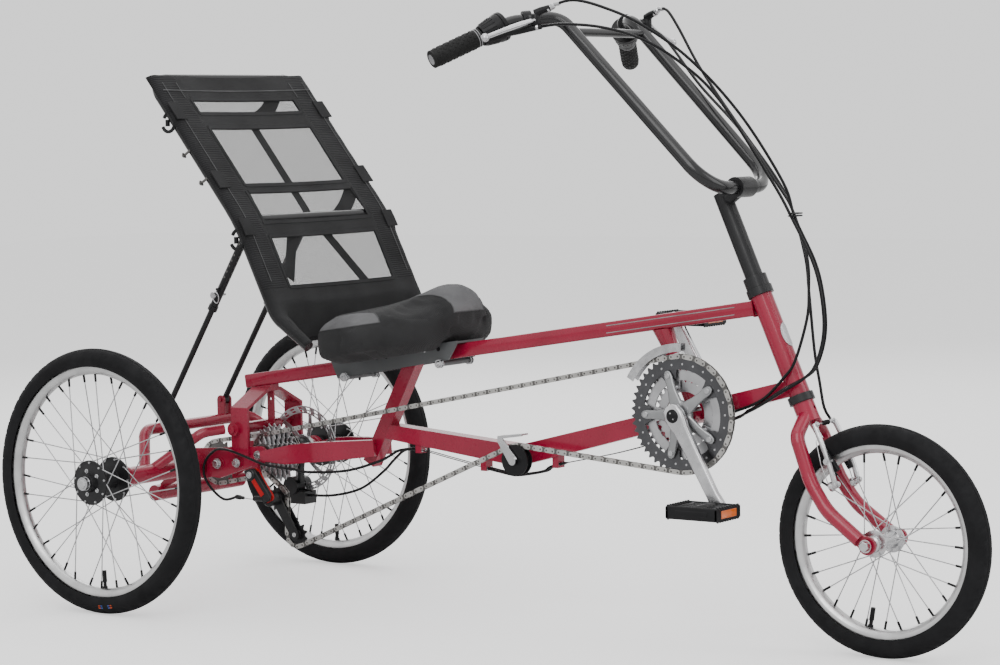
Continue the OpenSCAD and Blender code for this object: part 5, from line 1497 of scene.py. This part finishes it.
def strut_fittings():
    """Each strut's row of adjusting holes, drawn as dark discs of painted shade on its faces, and its quick
    pin with a wire clip.
    """
    b = Vector((HINGE[0] - 163, 0, HINGE[1] + 238))
    d = (b - STRUT_FOOT).normalized()
    nrm = Vector((-d.z, 0, d.x))
    rods = Build()
    pins = Build()
    for k in (-1, 1):
        y = Vector((0, k * 79, 0))
        for i in range(9):
            c = b - (14 + 12 * i) * d + y
            # Dark discs on the strut's four faces paint the shade inside each adjusting hole
            for n in (Vector((0, -1, 0)), Vector((0, 1, 0)), nrm, -nrm):
                rods.lathe([(0, 7.3), (2.2, 7.3), (2.2, 7.7), (0, 7.7)], c, n, 10, 1)
        c = b - 150 * d + y
        pins.tube([c - Vector((0, 17, 0)), c + Vector((0, 17, 0))], 2.4, 10, 0)
        pins.lathe([(0, 0), (6, 0), (6, 3), (0, 3)], c + Vector((0, -15, 0)), (0, -1, 0), 16, 0)
        loop = [c + Vector((0, -16, 0)) + 13 * (math.sin(t) * Vector((0, -0.4, 0))
                                                + (1 - math.cos(t)) * -nrm * 0.6 + math.sin(t) * 0.9 * d)
                for t in np.linspace(0, 5.6, 20)]
        pins.tube(loop, 0.9, 6, 0)
        end = b - 182 * d + y
        rods.lathe([(6, -2), (9, -2), (9, 6), (6, 6)], end, d, 20, 0, closed=True)
    piece("strut_pins", pins, SILVER, "upper_struts")
    # The end collars, and the dark discs that paint the shade in the holes
    piece("strut_collars_and_hole_shade", rods, [BLACK_METAL, CHAIN_DARK], "upper_struts")


def front_brake():
    """V-brake: two arms on their bosses, pads, noodle, boot and the cable's end; and the axle's nuts."""
    forward = Vector(head(0, 1)) - Vector(head(0, 0))
    build = Build()
    for k in (-1, 1):
        path = [head(106, 20, k * 37), head(124, 24, k * 38), head(160, 26, k * 37), head(196, 25, k * 35),
                head(214, 24, k * 33)]
        build.tube(smooth(path, 8), 4.4, 10, 0)
        build.lathe([(0, 0), (8, 0), (8, 4), (6, 6), (6, 12), (4, 14), (0, 14)], head(110, 12, k * 36),
                    forward, 20, 0)
        build.bolt(head(110, 26, k * 36), forward, 4, 4, 0, 1.3)
        build.tube([head(150, 24, k * 38), head(150, 24, k * 22)], 3.4, 12, 0)
        build.bolt(head(150, 24, k * 41), (0, k, 0), 4, 4, 0, 1.3)
        a = Vector(head(131, 27, k * 21))
        b = Vector(head(169, 20, k * 21))
        build.bar(a, b, 9, 8, 2.5, 1, up=forward)
        # Return spring beside each arm
        spring = [head(112, 12, k * 40), head(150, 14, k * 42), head(186, 20, k * 41), head(190, 24, k * 37)]
        build.tube(spring, 0.9, 6, 0)
    end = Vector(ROUTES["left_brake"][-1])
    # Noodle from the cable's end across to the pinch bolt
    build.tube(smooth([end + Vector((-1, -2, 3)), end + Vector((2, 5, -7)), head(216, 26, 30),
                       head(214, 26, 18), head(213, 26, 8)], 3), 2.6, 12, 0)
    build.tube([head(213, 26, 9), head(213, 26, -8)], [3.8, 2.2], 12, 1)
    for y in np.linspace(8, -6, 6):
        build.lathe([(2, -0.8), (4.3, 0), (2, 0.8)], head(213, 26, y), (0, 1, 0), 14, 1)
    build.tube([head(213, 26, -8), head(213, 26, -33)], 0.8, 8, 0)
    build.bolt(head(212, 28, -33), forward, 3.6, 4, 0, 1.4)
    build.tube([head(213, 26, -33), head(200, 30, -37), head(188, 33, -38)], 0.8, 8, 0)
    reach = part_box("fork")[1].y * 1000
    for k in (-1, 1):
        build.bolt((FRONT[0], k * (reach - 8), FRONT[1]), (0, k, 0), 8.6, 8.4, 0, 1.25)
    piece("v_brake", build, [SILVER, BLACK_PLASTIC], "steering", ["front_brake"])


def rear_derailleur():
    """Cage, jockey wheels with teeth, parallelogram with a red link, and the cable's barrel."""
    hang = Vector((MID[0] - 12, 0, MID[1] - 36))
    y0 = CHAIN_Y - 5.5
    y1 = CHAIN_Y + 5.5
    build = Build()
    for y in (y0 - 2.6, y1 + 0.4):
        build.prism(capsule(GUIDE, TENSION, 11, 10, 8), y, y + 2.2, 0.5, 0)
        for c, r in ((GUIDE, 12), (TENSION, 11)):
            build.lathe([(0, 0), (r, 0), (r, 0.6), (r - 1, 1.2), (0, 1.2)],
                        (c[0], y + (2.0 if y > CHAIN_Y else -1.0), c[1]), (0, 1, 0), 28, 0)
    for c in (GUIDE, TENSION):
        gear(build, c, JOCKEY_TEETH, 4.0, CHAIN_Y - 1.2, CHAIN_Y + 1.2, 0)
        build.lathe([(0, -3.4), (9, -3.4), (9, 3.4), (0, 3.4)], (c[0], CHAIN_Y, c[1]), (0, 1, 0), 24, 0)
        build.bolt((c[0], y0 - 2.6, c[1]), (0, -1, 0), 3, 2.4, 1, 1.4)
    # Upper knuckle on the hanger, lower knuckle on the cage, and the links between them
    top_y = -(67.5 + 24)
    build.lathe([(0, 0), (9, 0), (11, 2), (11, 15), (9.4, 17.5), (0, 17.5)], hang + Vector((0, top_y, 0)),
                (0, 1, 0), 32, 0)
    build.bolt(hang + Vector((0, top_y, 0)), (0, -1, 0), 5, 3, 1, 1.3)
    build.lathe([(0, 0), (11, 0), (13, 2), (13, 19), (11, 21), (0, 21)],
                (GUIDE[0], y0 - 25, GUIDE[1]), (0, 1, 0), 32, 0)
    build.lathe([(0, 0), (6, 0), (6, 1), (0, 1.6)], (GUIDE[0], y0 - 25, GUIDE[1]), (0, -1, 0), 20, 2)
    for y, h, slot in ((-88, 5, 0), (-78, 4, 2)):
        build.prism(capsule((hang.x + 4, hang.z + 4), (GUIDE[0] + 6, GUIDE[1] + 6), 8, 8.5, 7), y, y + h,
                    0.8, slot)
    build.prism([(hang.x - 3, hang.z - 6), (hang.x + 12, hang.z + 6), (GUIDE[0] + 12, GUIDE[1] + 10),
                 (GUIDE[0] - 4, GUIDE[1] - 8)], -84, -77, 1.2, 0)
    build.prism([(hang.x + 3, hang.z - 12), (hang.x + 10, hang.z - 6), (GUIDE[0] + 2, GUIDE[1] + 12),
                 (GUIDE[0] - 6, GUIDE[1] + 6)], -89.4, -88, 0.5, 2)
    barrel = Vector(ROUTES["rear_shift"][-1])
    u = (Vector((GUIDE[0] - 12, -80, GUIDE[1] - 2)) - barrel).normalized()
    build.lathe([(0, -2), (3.4, -2), (4.4, 0), (4.4, 9), (3.2, 11), (3.2, 16), (2, 18), (0, 18)],
                barrel, u, 16, 0)
    build.tube([barrel + 16 * u, Vector((GUIDE[0] - 8, -80, GUIDE[1] - 2))], 1.0, 8, 1)
    build.tube([(GUIDE[0] - 30, -80, GUIDE[1] + 1), (GUIDE[0] - 6, -80, GUIDE[1] + 2)], 5.0, 12, 0)
    piece("rear_mech", build, [BLACK_METAL, SILVER, RED_PLASTIC], "frame", ["rear_derailleur"])


camera()
lights()
backdrop()
pale_floor()
cables()
wheels()
chainrings()
cranks()
pedal("right", -1)
pedal("left", 1)
drive_side()
beams()
sling()
cushion()
brake_levers()
grips()
shifters()
frame_bolts()
head_badge()
beam_stripe()
strut_fittings()
front_brake()
rear_derailleur()
